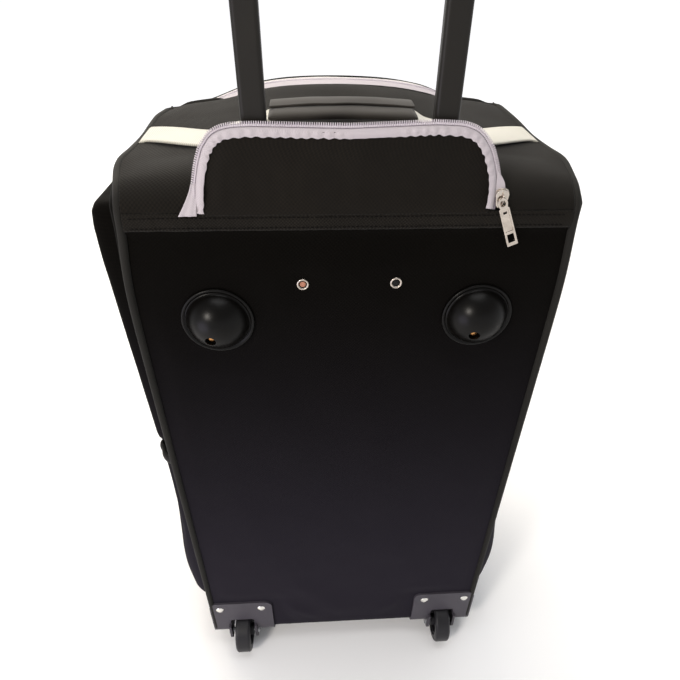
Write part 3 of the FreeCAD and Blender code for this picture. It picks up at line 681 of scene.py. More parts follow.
def side_cloth(sign, node):
    """Side panel. It curls round to the piping, which is set in from the corner."""
    def place(u, v):
        y = TUB_D * ease_ends(u)
        low = heel(y)
        high = edge_height(y, sign)
        z = low + (high - low) * ease_ends(v)
        near = min(y, high - z, z - low) / CURL
        inset = HALF_W - piped_half(sign, y, z)
        deep = min(y, high - z) < 60
        curl = inset * (1 - math.sqrt(1 - (1 - min(near, 1)) ** 2))
        curl += max(0.0, inset - PIPE_IN) * min(1, near) if deep else 0.0
        rim = smooth((min(y, TUB_D - y) - 14) / 30) * smooth(min(z - low, high - z) / 45)
        out = rim * (2.2 + 1.8 * ripple(y, z, 8 + sign, 0.012))
        return sign * (HALF_W - 0.4 - curl + out), y, z

    piece = grid(node + "_cloth", 84, 160, place, oxford)
    own(thicken(piece, 2.0, sign), "bag", "polyester", node)


def side_outline(sign):
    """Side edge from the underside round the heel, up the back and over the top."""
    pts = [(0, TUB_D, UNDER_Z), (0, HEEL_R, UNDER_Z)]
    for k in range(1, 9):
        a = math.pi / 2 * k / 8
        pts.append((0, HEEL_R - HEEL_R * math.sin(a), UNDER_Z + HEEL_R - HEEL_R * math.cos(a)))
    for k in range(60):
        y = TUB_D * (k / 59) ** 1.7
        pts.append((0, y, edge_height(y, sign)))
    return resample(pts, 4.0)


def side_piping(sign, name):
    """Welt sewn into the side seam. It turns the far corner and runs in under the front zip."""
    out = 2.4
    corner = 12
    path = [Vector((sign * (piped_half(sign, p.y, p.z) + out), p.y, p.z)) for p in side_outline(sign)
            if p.z < SEAM_Z or p.y < TUB_D - 20]
    for k in range(1, 7):
        a = math.pi / 2 * k / 6
        x = piped_half(sign, TUB_D, EDGE_Z) + out - corner + corner * math.cos(a)
        z = edge_height(TUB_D, sign) - 1.2 * math.sin(a)
        path.append(Vector((sign * x, TUB_D - 20 + 14 * math.sin(a), z)))
    for x in range(160, 112, -4):
        z = top_height(sign * x, TUB_D - 8) - 0.4 - 5 * smooth((128 - x) / 14)
        path.append(Vector((sign * x, TUB_D - 6, z)))
    own(sweep("piping_" + name, smooth_path(path, 4.0), circle(PIPE_R, 12), piping_cord,
              lambda p: (sign, 0, 0.4 if p.z > SEAM_Z + 10 else 0)), "bag", "polyester")


# ---------------------------------------------------------------- cloth settling

CLOTH_FRAMES = 20
waiting = []


def hang(piece, held, pressure, cap, after):
    """Queues a piece for the cloth simulation.

    held(p) is its pinning, from 0 to 1, at a point in mm. No point moves further than cap, in mm."""
    waiting.append((piece, held, pressure, cap, after))


def settle():
    """Blows every queued piece out a little, as stuffed cloth, and keeps the settled mesh."""
    for piece, held, pressure, _, _ in waiting:
        group = piece.vertex_groups.new(name="held")
        for v in piece.data.vertices:
            group.add([v.index], held((v.co - Vector((0, BACK_Y, 0))) / MM), "REPLACE")
        cloth = piece.modifiers.new("cloth", "CLOTH")
        settings = cloth.settings
        settings.quality = 6
        settings.mass = 0.2
        settings.tension_stiffness = 12
        settings.compression_stiffness = 6
        settings.shear_stiffness = 4
        settings.bending_stiffness = 0.4
        settings.vertex_group_mass = "held"
        settings.use_pressure = True
        settings.uniform_pressure_force = pressure
        settings.effector_weights.gravity = 0
        cloth.point_cache.frame_end = CLOTH_FRAMES
    scene = bpy.context.scene
    for k in range(1, CLOTH_FRAMES + 1):
        scene.frame_set(k)
    graph = bpy.context.evaluated_depsgraph_get()
    moved = [[v.co.copy() for v in entry[0].evaluated_get(graph).to_mesh().vertices] for entry in waiting]
    for (piece, _, _, cap, after), places in zip(waiting, moved):
        piece.modifiers.remove(piece.modifiers["cloth"])
        piece.vertex_groups.clear()
        for v, place in zip(piece.data.vertices, places):
            step = place - v.co
            v.co += step * min(1.0, cap * MM / step.length) if step.length else step
        piece.data.update()
        after(piece)
    scene.frame_set(1)


def finish_shell(thick, offset=-1.0):
    """What a settled sheet gets: one subdivision and its cloth thickness."""
    def after(piece):
        mod = piece.modifiers.new("fine", "SUBSURF")
        mod.levels = 1
        mod.render_levels = 1
        thicken(piece, thick, offset)
    return after


# ---------------------------------------------------------------- zips

def band(name, path, normal, lo, hi, count, height, material):
    """Strip beside a path, from lo to hi on its side. height(i, v) gives its lift and its shift."""
    rows = frames_along(path, normal)

    def place(u, v):
        i = round(u * (len(path) - 1))
        lift, shift = height(i, v)
        return path[i] + rows[i][1] * (lo + (hi - lo) * v + shift) + rows[i][2] * lift

    return grid(name, len(path) - 1, count, place, material)


ZIP_PITCH = 1.6     # from one tooth of the coil to the next


def coil(name, path, normal, offset, wide=2.6, high=1.3):
    """Nylon coil: a ridge along the path with a groove between one loop and the next."""
    fine = resample(path, ZIP_PITCH / 4)
    rows = frames_along(fine, normal)

    def place(u, v):
        i = round(u * (len(fine) - 1))
        swell = (1.0, 0.82, 0.45, 0.82)[i % 4]
        a = math.pi * v
        across = rows[i][1] * (offset - wide / 2 * math.cos(a))
        return fine[i] + across + rows[i][2] * (math.sin(a) * high * swell)

    return grid(name, len(fine) - 1, 6, place, zip_coil)


def comb(name, path, normal, offset, reach):
    """Open teeth of one half of a zip, standing out sideways from the tape's edge."""
    fine = resample(path, ZIP_PITCH)
    half, rise = ZIP_PITCH * 0.3, 0.7
    verts = []
    faces = []
    for p, (t, side, up) in zip(fine, frames_along(fine, normal)):
        base = len(verts)
        for w, thin in ((offset, 1.0), (offset + reach, 0.7)):
            for a, b in ((-1, -1), (1, -1), (1, 1), (-1, 1)):
                verts.append(at(*(p + side * w + t * (a * half * thin) + up * (b * rise * thin))))
        faces += [tuple(base + v for v in face) for face in tube_faces(2, 4)]
        faces += [(base + 3, base + 2, base + 1, base), tuple(base + 4 + k for k in range(4))]
    return build(name, verts, faces, zip_coil)


def zip_slider(name, centre, along, out, body):
    """Cast slider: two wings, a waist and the bridge that the pull hangs on."""
    along = Vector(along).normalized()
    out = Vector(out).normalized()
    side = along.cross(out)
    c = Vector(centre)

    def slab(part, ring, low, high):
        verts = [at(*(c + along * a + side * w + out * h)) for h in (low, high) for a, w in ring]
        return build(part, verts, end_faces(2, len(ring)) + tube_faces(2, len(ring)), nickel)

    outline = ((-7.2, 2.6), (-5.0, 4.2), (-1.0, 4.9), (3.5, 5.4), (6.2, 4.6), (7.4, 2.6))
    parts = []
    for low, high, size in ((-1.6, -0.4, 1.0), (0.8, 2.0, 0.94)):
        half = [(a * size, w * size) for a, w in outline]
        ring = half + [(a, -w) for a, w in reversed(half)]
        parts.append(round_off(slab("wing", ring, low, high), 0.35, 2))
    parts.append(slab("waist", ((-1, -1), (5, -2), (5, 2), (-1, 1)), -0.6, 1.0))
    arc = [c + along * (4.6 * math.cos(math.pi * k / 12)) + out * (1.8 + 2.6 * math.sin(math.pi * k / 12))
           for k in range(13)]
    parts.append(sweep("bridge", arc, [(s * 1.3, u * 0.45) for s, u in circle(1, 8)], nickel, lambda p: side))
    own(join(name + "_piece", parts), body, "nickel", name)


def plate_with_holes(name, outline, holes, half, spot, material):
    """Flat plate cut from sheet. outline and holes list (along, half width) down one side."""
    bm = bmesh.new()
    shapes = []
    for h in (-half, half):
        loops = [[bm.verts.new(spot(a, w, h)) for a, w in edge + [(a, -w) for a, w in reversed(edge)]]
                 for edge in (outline, *holes)]
        edges = [bm.edges.new(pair) for loop in loops for pair in zip(loop, loop[1:] + loop[:1])]
        bmesh.ops.triangle_fill(bm, edges=edges, use_beauty=True)
        shapes.append(loops)
    for low, high in zip(*shapes):
        for a, b, c, d in zip(low, low[1:] + low[:1], high[1:] + high[:1], high):
            bm.faces.new((a, b, c, d))
    bmesh.ops.recalc_face_normals(bm, faces=bm.faces)
    mesh = bpy.data.meshes.new(name)
    bm.to_mesh(mesh)
    bm.free()
    mesh.uv_layers.new(name="cloth")
    mesh.materials.append(material)
    piece = bpy.data.objects.new(name, mesh)
    bpy.context.scene.collection.objects.link(piece)
    return round_off(piece, 0.2, 2, 0.9)


PULL_LONG = 37.0    # from the hinge to the tip


def zip_pull(name, hinge, down, out, body):
    """Pull tab: a ring end, a framed shank and a window near its tip."""
    down = Vector(down).normalized()
    out = Vector(out).normalized()
    side = down.cross(out)
    c = Vector(hinge)

    def spot(a, w, h):
        return at(*(c + down * a + side * w + out * h))

    ring = [(-3.4, 1.2), (-2.6, 2.6), (-1.0, 3.5), (0.8, 3.8), (2.6, 3.4), (4.2, 2.9), (5.2, 3.9)]
    outline = ring + [(PULL_LONG * 0.5, 4.1), (PULL_LONG - 0.4, 4.3), (PULL_LONG, 3.9)]
    eye = [(-1.6, 0.8), (-0.8, 1.7), (0.8, 2.2), (2.4, 1.7), (3.0, 0.8)]
    panel = [(6.6, 2.6), (PULL_LONG - 12.6, 2.9)]
    window = [(PULL_LONG - 10.2, 2.5), (PULL_LONG - 3.0, 2.6)]
    rim = plate_with_holes("frame", outline, (eye, panel, window), 0.85, spot, nickel)
    inset = plate_with_holes("inset", [(6.4, 2.7), (PULL_LONG - 12.4, 3.0)], ([(7.8, 1.4), (9.6, 1.4)],), 0.45,
                             spot, nickel_warm)
    own(join(name + "_piece", [rim, inset]), body, "nickel", name)


# ---------------------------------------------------------------- stow flap

# Outer edge of the flap's zip: (x, height above the seam), from the left base to the slider
FLAP_EDGE = ((-117.5, 1), (-115.8, 19.8), (-112.2, 33.9), (-107.5, 46), (-100.1, 55.1), (-93, 59), (-84, 60.9),
             (-69.2, 61.6), (-35, 60.8), (-1.6, 60.2), (30, 61.4), (60.2, 62.6), (80, 61.8), (90.5, 58.6),
             (97.5, 53), (103.8, 44.5), (108.6, 32.8), (111.3, 24), (112.2, 14), (110.5, 1))
FLAP_LEFT = ((-1, -109.5), (20, -107.8), (37, -104.3), (46, -99), (51, -92.0), (54.4, -78))
FLAP_RIGHT = ((-1, 103.5), (15, 105), (33, 101.3), (46, 94.2), (51.5, 87.5), (54.6, 72))


def flap_lean(height):
    """The flap leans back towards the trolley tubes."""
    return -1.4 + 4.4 * smooth(height / 16) + 6.0 * (max(0.0, height) / 62) ** 1.4


def along_table(table, z):
    """Linear look-up in pairs."""
    for (za, xa), (zb, xb) in zip(table, table[1:]):
        if z <= zb:
            return xa + (xb - xa) * (z - za) / (zb - za)
    return table[-1][1]


def flap_point(x, h, out=0.0):
    """A place on the flap, h above the seam and out from its face."""
    return Vector((x, flap_lean(h) - out, SEAM_Z + h))


FLAP_TOP = 54.4     # the cloth's height above the seam, under the zip
TUCK = 1.4          # step along the flap's tape


def flap_panel():
    """Cloth of the flap. It swells a little, but not under its tape."""
    def place(u, v):
        h = -1 + (FLAP_TOP + 1) * v
        lo = along_table(FLAP_LEFT, h)
        hi = along_table(FLAP_RIGHT, h)
        x = lo + (hi - lo) * u
        under = smooth((min(x - lo, hi - x, FLAP_TOP - h) - 2.5) / 14)
        swell = 2.9 * under * smooth((h + 1) / 14)
        wave = 1.3 * ripple(x, h, 21, 0.03) + 0.7 * ripple(x, h, 22, 0.09)
        return flap_point(x, h, swell + wave * under * smooth(h / 10) + 0.2)

    piece = grid("flap_cloth", 120, 36, place, flap_oxford)
    own(thicken(piece, 1.8, 1.0), "flap", "polyester", "stow_flap")


def flap_zip():
    """The flap's half of the zip: puckered tape, its shaded back, coil and open teeth."""
    edge = smooth_path([flap_point(x, h) for x, h in FLAP_EDGE], TUCK)
    inwards = -1 if frames_along(edge, BACKWARDS)[len(edge) // 2][1].z > 0 else 1

    def puckered(i, v):
        s = i * TUCK
        size = 0.5 + 1.3 * ripple(s, 0, 31, 0.035)
        tuck = size * math.sin(s * 0.8 + 5 * ripple(s, 5, 32, 0.03)) + 0.5 * ripple(s, 5, 33, 0.15)
        puff = math.sin(math.pi * min(v * 1.05, 1.0)) * (1.2 + 0.8 * tuck)
        return 1.0 + puff + 2.6 * v, inwards * 0.5 * tuck * v ** 2

    tape = band("flap_tape", edge, BACKWARDS, inwards * 3.9, inwards * 9.8, 9, puckered, zip_tape)
    own(thicken(tape, TAPE, 0), "flap", "zip_tape", "stow_flap_zip")
    back = band("flap_tape_back", edge, BACKWARDS, inwards * 1.7, inwards * 5.4, 3, lambda i, v: (0.3, 0),
                zip_tape_dark)
    own(thicken(back, TAPE, 0), "flap", "zip_tape")
    open_run = [p for p in edge if p.x < 0 or p.z > SEAM_Z + 15]
    own(coil("flap_coil", open_run, BACKWARDS, inwards * 2.8, COIL, 1.5), "flap", "zip_tape")
    own(comb("flap_teeth", open_run, BACKWARDS, inwards * 2.2, -inwards * 2.0), "flap", "zip_tape")

    def left_end(u, v):
        h = 21 * v
        wide = 9.0 * (1 - v) ** 1.4
        x = along_table([(b, a) for a, b in FLAP_EDGE[:3]], h) + 4.5 - (wide + 4.3) * u
        return Vector((x, flap_lean(h) - 1.0 - 2.4 * (1 - v) + 0.3 * math.sin(12 * u), SEAM_Z + h - 0.6))

    def right_end(u, v):
        h = 10 + 19 * v
        wide = 7.0 * math.sin(math.pi * min(1, 0.25 + 0.75 * v))
        return Vector((108.5 - 1.5 * v + wide * u, 1.2 + 2.5 * v + 0.6 * u, SEAM_Z + h))

    # the tape's loose end spreads at the left base, and comes out from under the slider at the right
    own(thicken(grid("flap_tape_left_end", 10, 14, left_end, zip_tape), TAPE, 0), "flap", "zip_tape")
    own(thicken(grid("flap_tape_right_end", 8, 12, right_end, zip_tape), TAPE, 0), "bag", "zip_tape")


def mouth_zip():
    """The zip's other half, round the pocket's mouth."""
    rim = [Vector((p.x, p.y, top_height(p.x, p.y) - 2.0)) for p in mouth_outline(-0.6, 200)[12:-12]]

    def inwards(p):
        return (Vector((max(-70, min(70, p.x)), 20, p.z)) - p).normalized()

    down = 1 if frames_along(rim, inwards)[len(rim) // 2][1].z < 0 else -1
    strip = band("mouth_tape", rim, inwards, 0, down * 8.5, 5,
                 lambda i, v: (0.6 + 1.6 * v + 0.5 * ripple(i * 2, v * 9, 41, 0.1), 0), zip_tape)
    own(thicken(strip, TAPE, 0), "bag", "zip_tape", "stow_mouth_zip")
    own(coil("mouth_coil", rim, inwards, down * 9.3, COIL), "bag", "zip_tape")
    line = [Vector((p.x, p.y, top_height(p.x, p.y) + 0.2)) for p in mouth_outline(3.0, 160)[14:-14]]
    own(stitches("mouth_stitches", line, UPWARDS), "bag", "polyester")


def seam_binding():
    """Folded binding over the seam between back and top, with its two rows of stitches."""
    def place(u, v):
        z = SEAM_Z + 0.5 - 13.5 * v
        x = piped_half(u - 0.5, 0, z) * (2 * u - 1)
        tuck = 0.5 * ripple(x, z * 0.3, 54, 0.16) + 0.35 * ripple(x, z, 55, 0.4)
        return Vector((x, -back_relief(x, z) - 0.9 - tuck - 0.9 * math.sin(math.pi * min(1, v * 1.1)), z))

    own(thicken(grid("seam_binding", 240, 8, place, seam_tape), 0.8, 0), "bag", "polyester")
    for row, z in (("upper", SEAM_Z - 2.6), ("lower", SEAM_Z - 10.5)):
        line = [Vector((x, -back_relief(x, z) - 2.3, z + 0.5 * ripple(x, z, 51, 0.02)))
                for x in range(-162, 165, 4)]
        own(stitches("seam_stitches_" + row, line, BACKWARDS), "bag", "polyester")


def build_flap():
    """Flap, both halves of its zip, and the seam that it is sewn into."""
    flap_panel()
    flap_zip()
    mouth_zip()
    seam_binding()


# ---------------------------------------------------------------- carry handle

def web_run(x):
    """Middle line of the webbing across the top: it swings back towards the handle."""
    return 141 - 37 * smooth((HALF_W - 6 - abs(x)) / 68)


def ribbon(name, pts, wide, thick):
    """Flat webbing along points."""
    path = resample(pts, 3.0)
    rows = frames_along(path, UPWARDS)

    def place(u, v):
        i = round(u * (len(path) - 1))
        return path[i] + rows[i][1] * (wide * (v - 0.5))

    return thicken(grid(name, len(path) - 1, 14, place, webbing), thick, 0)


def handle_bow(u):
    """How far the handle's wrap rises along its length. u is 0 and 1 at its ends."""
    return 3.0 * (1 - (2 * u - 1) ** 2)


def handle_wrap(half, z0):
    """Padded sleeve of the handle with its overlapping edge. half is half its length, z0 its height."""
    def sleeve(u, v):
        x = -half + 2 * half * u
        end = smooth(min(u, 1 - u) * 26) ** 0.5
        ca, sa = math.cos(2 * math.pi * v), math.sin(2 * math.pi * v)
        s = 23.5 * math.copysign(abs(ca) ** 0.55, ca)
        c = 4.2 * math.copysign(abs(sa) ** 0.8, sa)
        y = HANDLE_Y - handle_bow(u) / 2 + s * (1 - 0.16 * (1 - smooth(min(u, 1 - u) * 14)))
        return Vector((x, y, z0 + handle_bow(u) + c * (0.35 + 0.65 * end) + 0.5 * ripple(x, s, 61, 0.04)))

    def over(u, v):
        x = -half + 1 + (2 * half - 2) * u
        s = -4 + 28 * v - 1.2 * ripple(x, 3, 62, 0.03)
        fall = 3.2 * smooth((v - 0.82) / 0.18)
        rise = 4.6 + 0.8 * math.sin(math.pi * v) - fall + 0.4 * ripple(x, s, 63, 0.05)
        return Vector((x, HANDLE_Y + s, z0 + handle_bow(u) + rise))

    wrap = own(grid("wrap_sleeve", 80, 48, sleeve, neoprene), "carry_handle", "wrap", "handle_wrap")
    own(thicken(grid("wrap_overlap", 80, 16, over, neoprene), 1.6, 1.0), "carry_handle", "wrap")
    line = [over(u / 60, 0.1) + Vector((0, 0, 1.2)) for u in range(1, 60)]
    own(stitches("wrap_stitches", line, UPWARDS), "carry_handle", "wrap")


def build_handle():
    """Webbing over the top and the wrapped carry handle on it."""
    strips = []
    for sign in (-1, 1):
        pts = [Vector((sign * x, web_run(x), top_height(x, web_run(x)) + 3.6)) for x in range(178, 86, -3)]
        pts.insert(0, Vector((sign * 181.4, web_run(180), EDGE_Z - 1.5)))
        strips.append(ribbon("strip", pts, 46.0, 1.6))
    own(join("webbing_strips", strips), "bag", "webbing", "top_webbing")
    lo, hi = local("handle_wrap")
    z0 = lo.z - 9.0
    handle_wrap(hi.x, z0)
    # X and Z of the loop's webbing, from where it leaves the top to inside the sleeve
    climb = [(x, top_height(x, web_run(x)) + 5.0) for x in (104, 96, 82)]
    climb += [(73, z0 - 8), (68, z0 - 3), (60, z0), (46, z0 + 1.0)]
    for sign, name in ((-1, "left"), (1, "right")):
        pts = [Vector((sign * x, web_run(x) + (HANDLE_Y - web_run(x)) * smooth((104 - x) / 26), z))
               for x, z in climb]
        loop = ribbon("handle_web_" + name, smooth_path(pts, 3.0), 36.0, 1.8)
        if sign < 0:
            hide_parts("handle_loop")
        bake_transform(loop)


# ---------------------------------------------------------------- front cover

SIDE_CORNER = 14.0  # rounding of the front's upper corners
CROWN_R = (HALF_W ** 2 + (CROWN_Z - EDGE_Z) ** 2) / (2 * (CROWN_Z - EDGE_Z))
ZIP_Y = TUB_D + 6   # middle of the main zip
SLIP_ZIP_Z = 569    # slip pocket's zip in the cover


def arch_ring(grow=0.0):
    """Path up the left side, over the domed top and down the right side, at y = 0."""
    side = HALF_W + grow
    edge = EDGE_Z + grow
    r = (side ** 2 + (CROWN_Z - EDGE_Z) ** 2) / (2 * (CROWN_Z - EDGE_Z))
    pts = [Vector((-side, 0, COVER_LOW)), Vector((-side, 0, edge - SIDE_CORNER))]
    for k in range(6):
        a = math.pi - (math.pi / 2 - 0.29) * k / 5
        x = -side + SIDE_CORNER + SIDE_CORNER * math.cos(a)
        pts.append(Vector((x, 0, edge - 12 + SIDE_CORNER * math.sin(a))))
    for k in range(1, 48):
        x = (side - 8) * (k / 24 - 1)
        pts.append(Vector((x, 0, edge + (CROWN_Z - EDGE_Z) - r + math.sqrt(r * r - x * x))))
    return pts + [Vector((-p.x, p.y, p.z)) for p in reversed(pts[:8])]


def ring_out(p):
    """Outward direction of the ring at a place."""
    if abs(p.x) > HALF_W - 8 and p.z < EDGE_Z - 10:
        return (math.copysign(1, p.x), 0, 0)
    return Vector((p.x * 0.16 if abs(p.x) < 165 else p.x * 0.6, 0, 60)).normalized()


def ring_line(y, lift, high, grow=0.0):
    """Line round the ring. It stands out by lift on the sides and by high more over the top."""
    return [Vector((p.x, y, p.z - sunk(p))) + Vector(ring_out(p)) * (lift + high * top_share(p))
            for p in smooth_path(arch_ring(grow), 4.0)]


def ring_sheet(name, y0, y1, count, lift, material):
    """Sheet that follows the ring between two depths. lift(p, v) moves it out."""
    path = smooth_path(arch_ring(), 5.0)
    rows = frames_along(path, ring_out)

    def place(u, v):
        i = round(u * (len(path) - 1))
        p = path[i]
        q = p + rows[i][2] * lift(p, v)
        return Vector((q.x, y0 + (y1 - y0) * v, q.z - sunk(p)))

    return grid(name, len(path) - 1, count, place, material)


def sunk(p):
    """How far the front zip has sunk at a place on the ring."""
    return (front_drop(p.x) + corner_drop(p.x)) * smooth((p.z - EDGE_Z + 70) / 60)


def top_share(p):
    """0 on the sides, 1 over the top."""
    return smooth((p.z - EDGE_Z + 30) / 40)


def main_zip():
    """Both halves of the zip round the cover."""
    def tape_lift(base, high, fall, seed):
        def lift(p, v):
            return base + (high + fall * v) * top_share(p) + 0.3 * ripple(p.x + p.z, v * 20, seed, 0.05)
        return lift

    tape = ring_sheet("main_tape_body", TUB_D - 14, ZIP_Y - 1.2, 6, tape_lift(1.5, 1.6, 1.6, 71), zip_tape)
    own(thicken(tape, 0.7, 0), "bag", "zip_tape", "main_zip_body_half")
    tape = ring_sheet("main_tape_cover", ZIP_Y + 1.2, ZIP_Y + 15, 5, tape_lift(1.6, 3.1, -2.4, 72), zip_tape)
    own(thicken(tape, 0.7, 0), "cover", "zip_tape", "main_zip_cover_half")
    line = ring_line(ZIP_Y, 1.6, 3.2)
    sign = 1 if frames_along(line, ring_out)[10][1].y > 0 else -1
    for name, body, side in (("body", "bag", -sign), ("cover", "cover", sign)):
        own(coil("main_coil_" + name, line, ring_out, side * COIL / 2, COIL, 1.4), body, "zip_tape")


def gusset():
    """Pale band between the zip and the cover's face, and the pipings beside it."""
    def swell(p, v):
        belly = 2.0 * math.sin(math.pi * v) * (1 + 0.6 * ripple(p.x, p.z, 73, 0.02))
        return -0.6 + belly + 1.2 * top_share(p) * (1 - v)

    piece = ring_sheet("gusset_cloth", ZIP_Y + 9, COVER_Y - 1, 14, swell, gusset_cloth)
    own(thicken(piece, 1.6, 0), "cover", "gusset", "cover_gusset")
    own(sweep("cover_piping", ring_line(COVER_Y - 0.5, 0, 0, 0.2), circle(2.3, 10), piping_cord, ring_out),
        "cover", "polyester")
    own(sweep("tub_edge_binding", ring_line(TUB_D - 13, 1.2, 1.2), circle(1.5, 8), piping_cord, ring_out),
        "bag", "polyester")


def cover_face():
    """Face of the cover. It lies flat behind the front pocket and at the slip pocket's zip."""
    def place(u, v):
        x = (HALF_W - 1) * (2 * u - 1)
        top = CROWN_Z - CROWN_R + math.sqrt(CROWN_R * CROWN_R - x * x) - 1.0 - 9 * smooth((abs(x) - 166) / 14)
        top -= sunk(Vector((x, 0, top)))
        z = COVER_LOW + (top - COVER_LOW) * v
        rim = smooth(min(u, 1 - u) * 10) * smooth(min(v, 1 - v) * 14)
        behind = smooth((150 - abs(x)) / 20) * smooth((z - 110) / 20) * smooth((505 - z) / 20)
        slip = 0.75 * math.exp(-((z - SLIP_ZIP_Z) / 24) ** 4) * smooth((136 - abs(x)) / 14)
        out = rim * (4.0 + 2.0 * ripple(x, z, 75, 0.012) + 0.8 * ripple(x, z, 76, 0.04))
        return Vector((x, COVER_Y + out * (1 - behind) * (1 - slip), z))

    piece = own(thicken(grid("cover_cloth", 90, 150, place, oxford), 2.2), "cover", "polyester", "cover_face")


def slip_zip():
    """Straight zip of the slip pocket, with a rolled hem along each side."""
    lo, hi = local("cover_pocket_zip")
    line = [Vector((x, COVER_Y + 2.6, (lo.z + hi.z) / 2)) for x in range(-126, 127, 4)]
    tapes = [band("tape", line, FORWARDS, a, b, 4, lambda i, v: (0.4 * ripple(i * 4, v * 9, 77, 0.05), 0),
                  zip_tape) for a, b in ((-10, -1.0), (1.0, 10))]
    own(thicken(join("slip_tape", tapes), 0.6, 0), "cover", "zip_tape", "cover_pocket_zip")
    own(coil("slip_coil", line, FORWARDS, 0, 3.4, 1.2), "cover", "zip_tape")
    section = [(s, u * 0.7) for s, u in circle(2.6)]
    for name, dz in (("low", -11.5), ("high", 11.5)):
        hem = [p + Vector((0, -0.5, dz)) for p in line]
        own(sweep("slip_hem_" + name, hem, section, oxford, FORWARDS), "cover", "polyester")


def front_sill():
    """Fixed lip below the cover, and its two ends."""
    lo, hi = local("front_sill")
    around = ((TUB_D, hi.z), (COVER_Y, hi.z), (COVER_Y + 1, hi.z - 20), (COVER_Y - 1, lo.z + 5),
              (COVER_Y - 7, lo.z), (TUB_D, lo.z))

    def place(u, v):
        x = -HALF_W + 2 * HALF_W * u
        k = v * (len(around) - 1)
        i = min(int(k), len(around) - 2)
        (ya, za), (yb, zb) = around[i], around[i + 1]
        z = za + (zb - za) * (k - i)
        return Vector((x, ya + (yb - ya) * (k - i) + 0.6 * ripple(x, z, 78, 0.03), z))

    def end(sign, u, v):
        out = HALF_W - 0.5 + 1.5 * math.sin(math.pi * u) * math.sin(math.pi * v)
        return Vector((sign * out, TUB_D - 1 + (COVER_Y - TUB_D + 1) * u, lo.z + (hi.z - lo.z) * v))

    own(thicken(grid("sill_cloth", 80, 30, place, oxford), 1.6, 0), "bag", "polyester", "front_sill")
    ends = [grid("end", 10, 10, lambda u, v, sign=sign: end(sign, u, v), oxford) for sign in (-1, 1)]
    own(thicken(join("sill_ends", ends), 1.6, 0), "bag", "polyester")


def build_front():
    """Main zip, gusset, cover face, its slip pocket's zip, and the fixed sill."""
    main_zip()
    gusset()
    cover_face()
    slip_zip()
    front_sill()


# ---------------------------------------------------------------- pockets

def rounded_plan(a, b, half_a, half_b, corner):
    """Point of a rounded rectangle for a and b between -1 and 1."""
    p = a * half_a
    q = b * half_b
    da = max(0.0, abs(p) - half_a + corner)
    db = max(0.0, abs(q) - half_b + corner)
    far = math.hypot(da, db)
    if far > corner:
        p -= math.copysign(da * (1 - corner / far), p)
        q -= math.copysign(db * (1 - corner / far), q)
    return p, q


def stand(axis, p, q, out):
    """A place out from the panel that a pocket is on: the cover (Y) or the left side (-X)."""
    return Vector((p, out, q)) if axis == "Y" else Vector((-out, p, q))


def pocket_shell(name, lo, hi, axis, corner):
    """Closed pocket that stands out from a panel, as one sheet over its face and four sides.

    lo and hi hold the two directions on the panel and then the depth along axis."""
    def place(u, v):
        a, b = 2 * u - 1, 2 * v - 1
        m = max(abs(a), abs(b), 0.001)
        p, q = rounded_plan(a / m, b / m, (hi[0] - lo[0]) / 2, (hi[1] - lo[1]) / 2, corner)
        p = p * min(1, m * 1.08) + (lo[0] + hi[0]) / 2
        q = q * min(1, m * 1.08) + (lo[1] + hi[1]) / 2
        return stand(axis, p, q, lo[2] + (hi[2] - lo[2]) * smooth((1 - m) / 0.09))

    return grid(name, 60, 76, place, oxford)


def pocket_welt(name, lo, hi, axis, base, corner, body):
    """Piping round a pocket where it meets its panel."""
    pts = []
    for k in range(121):
        ca, sa = math.cos(2 * math.pi * k / 120), math.sin(2 * math.pi * k / 120)
        m = max(abs(ca), abs(sa))
        p, q = rounded_plan(ca / m, sa / m, (hi[0] - lo[0]) / 2 + 1, (hi[1] - lo[1]) / 2 + 1, corner + 1)
        pts.append(stand(axis, p + (lo[0] + hi[0]) / 2, q + (lo[1] + hi[1]) / 2, base))
    own(sweep(name, pts, circle(2.1), piping_cord, facing(*stand(axis, 0, 0, 1))), body, "polyester")


def placket(name, line, out, body):
    """Folded strip that hides a pocket's opening, stitched along both its edges."""
    def fold(i, v):
        return 1.2 + 2.2 * math.sin(math.pi * v) ** 0.6 + 0.4 * ripple(i * 4, v * 9, 85, 0.06), 0

    own(thicken(band(name, line, out, -11, 11, 10, fold, flap_oxford), 1.2, 0), body, "polyester")
    rows = frames_along(line, out)
    for edge, w in (("a", -8.0), ("b", 8.0)):
        seam = [p + row[1] * w + row[2] * 3.6 for p, row in zip(line, rows)]
        own(stitches(name + "_stitches_" + edge, seam, out), body, "polyester")


def pouch(sign, node):
    """Open pouch low on a side: fuller near its base, and gathered under its elastic rim."""
    lo, hi = local(node)
    deep = max(abs(lo.x), abs(hi.x)) - HALF_W - 2

    def place(u, v):
        a = 2 * u - 1
        out = deep * (1 - abs(a) ** 9) * (0.84 + 0.4 * math.exp(-((v - 0.26) / 0.3) ** 2))
        gather = 1.5 * math.sin(a * 40 + 2 * ripple(a * 100, v * 50, 81, 0.05)) * smooth((v - 0.45) / 0.5)
        out += (gather + 1.6 * ripple(a * 120, v * 200, 82, 0.03)) * (1 - abs(a) ** 4)
        out *= smooth(v / 0.05 + 0.02) ** 0.5
        y = (lo.y + hi.y) / 2 + a * (hi.y - lo.y) / 2
        return Vector((sign * (HALF_W + 1.2 + max(0, out)), y, lo.z + (hi.z - lo.z) * v))

    def held(p):
        return 1.0 if abs(p.x) < HALF_W + 2.5 or p.z > hi.z - 4 else 0.0

    piece = grid(node + "_cloth", 110, 90, place, oxford)
    hang(piece, held, 1.2, 6, finish_shell(2.0, -sign))
    own(piece, "bag", "polyester", node)
    rim = [place(u / 110, 1.0) for u in range(111)]
    section = [(s * 0.8, u * 2.0) for s, u in circle(3.2, 12)]
    own(sweep(node + "_binding", rim, section, elastic, UPWARDS), "bag", "polyester")


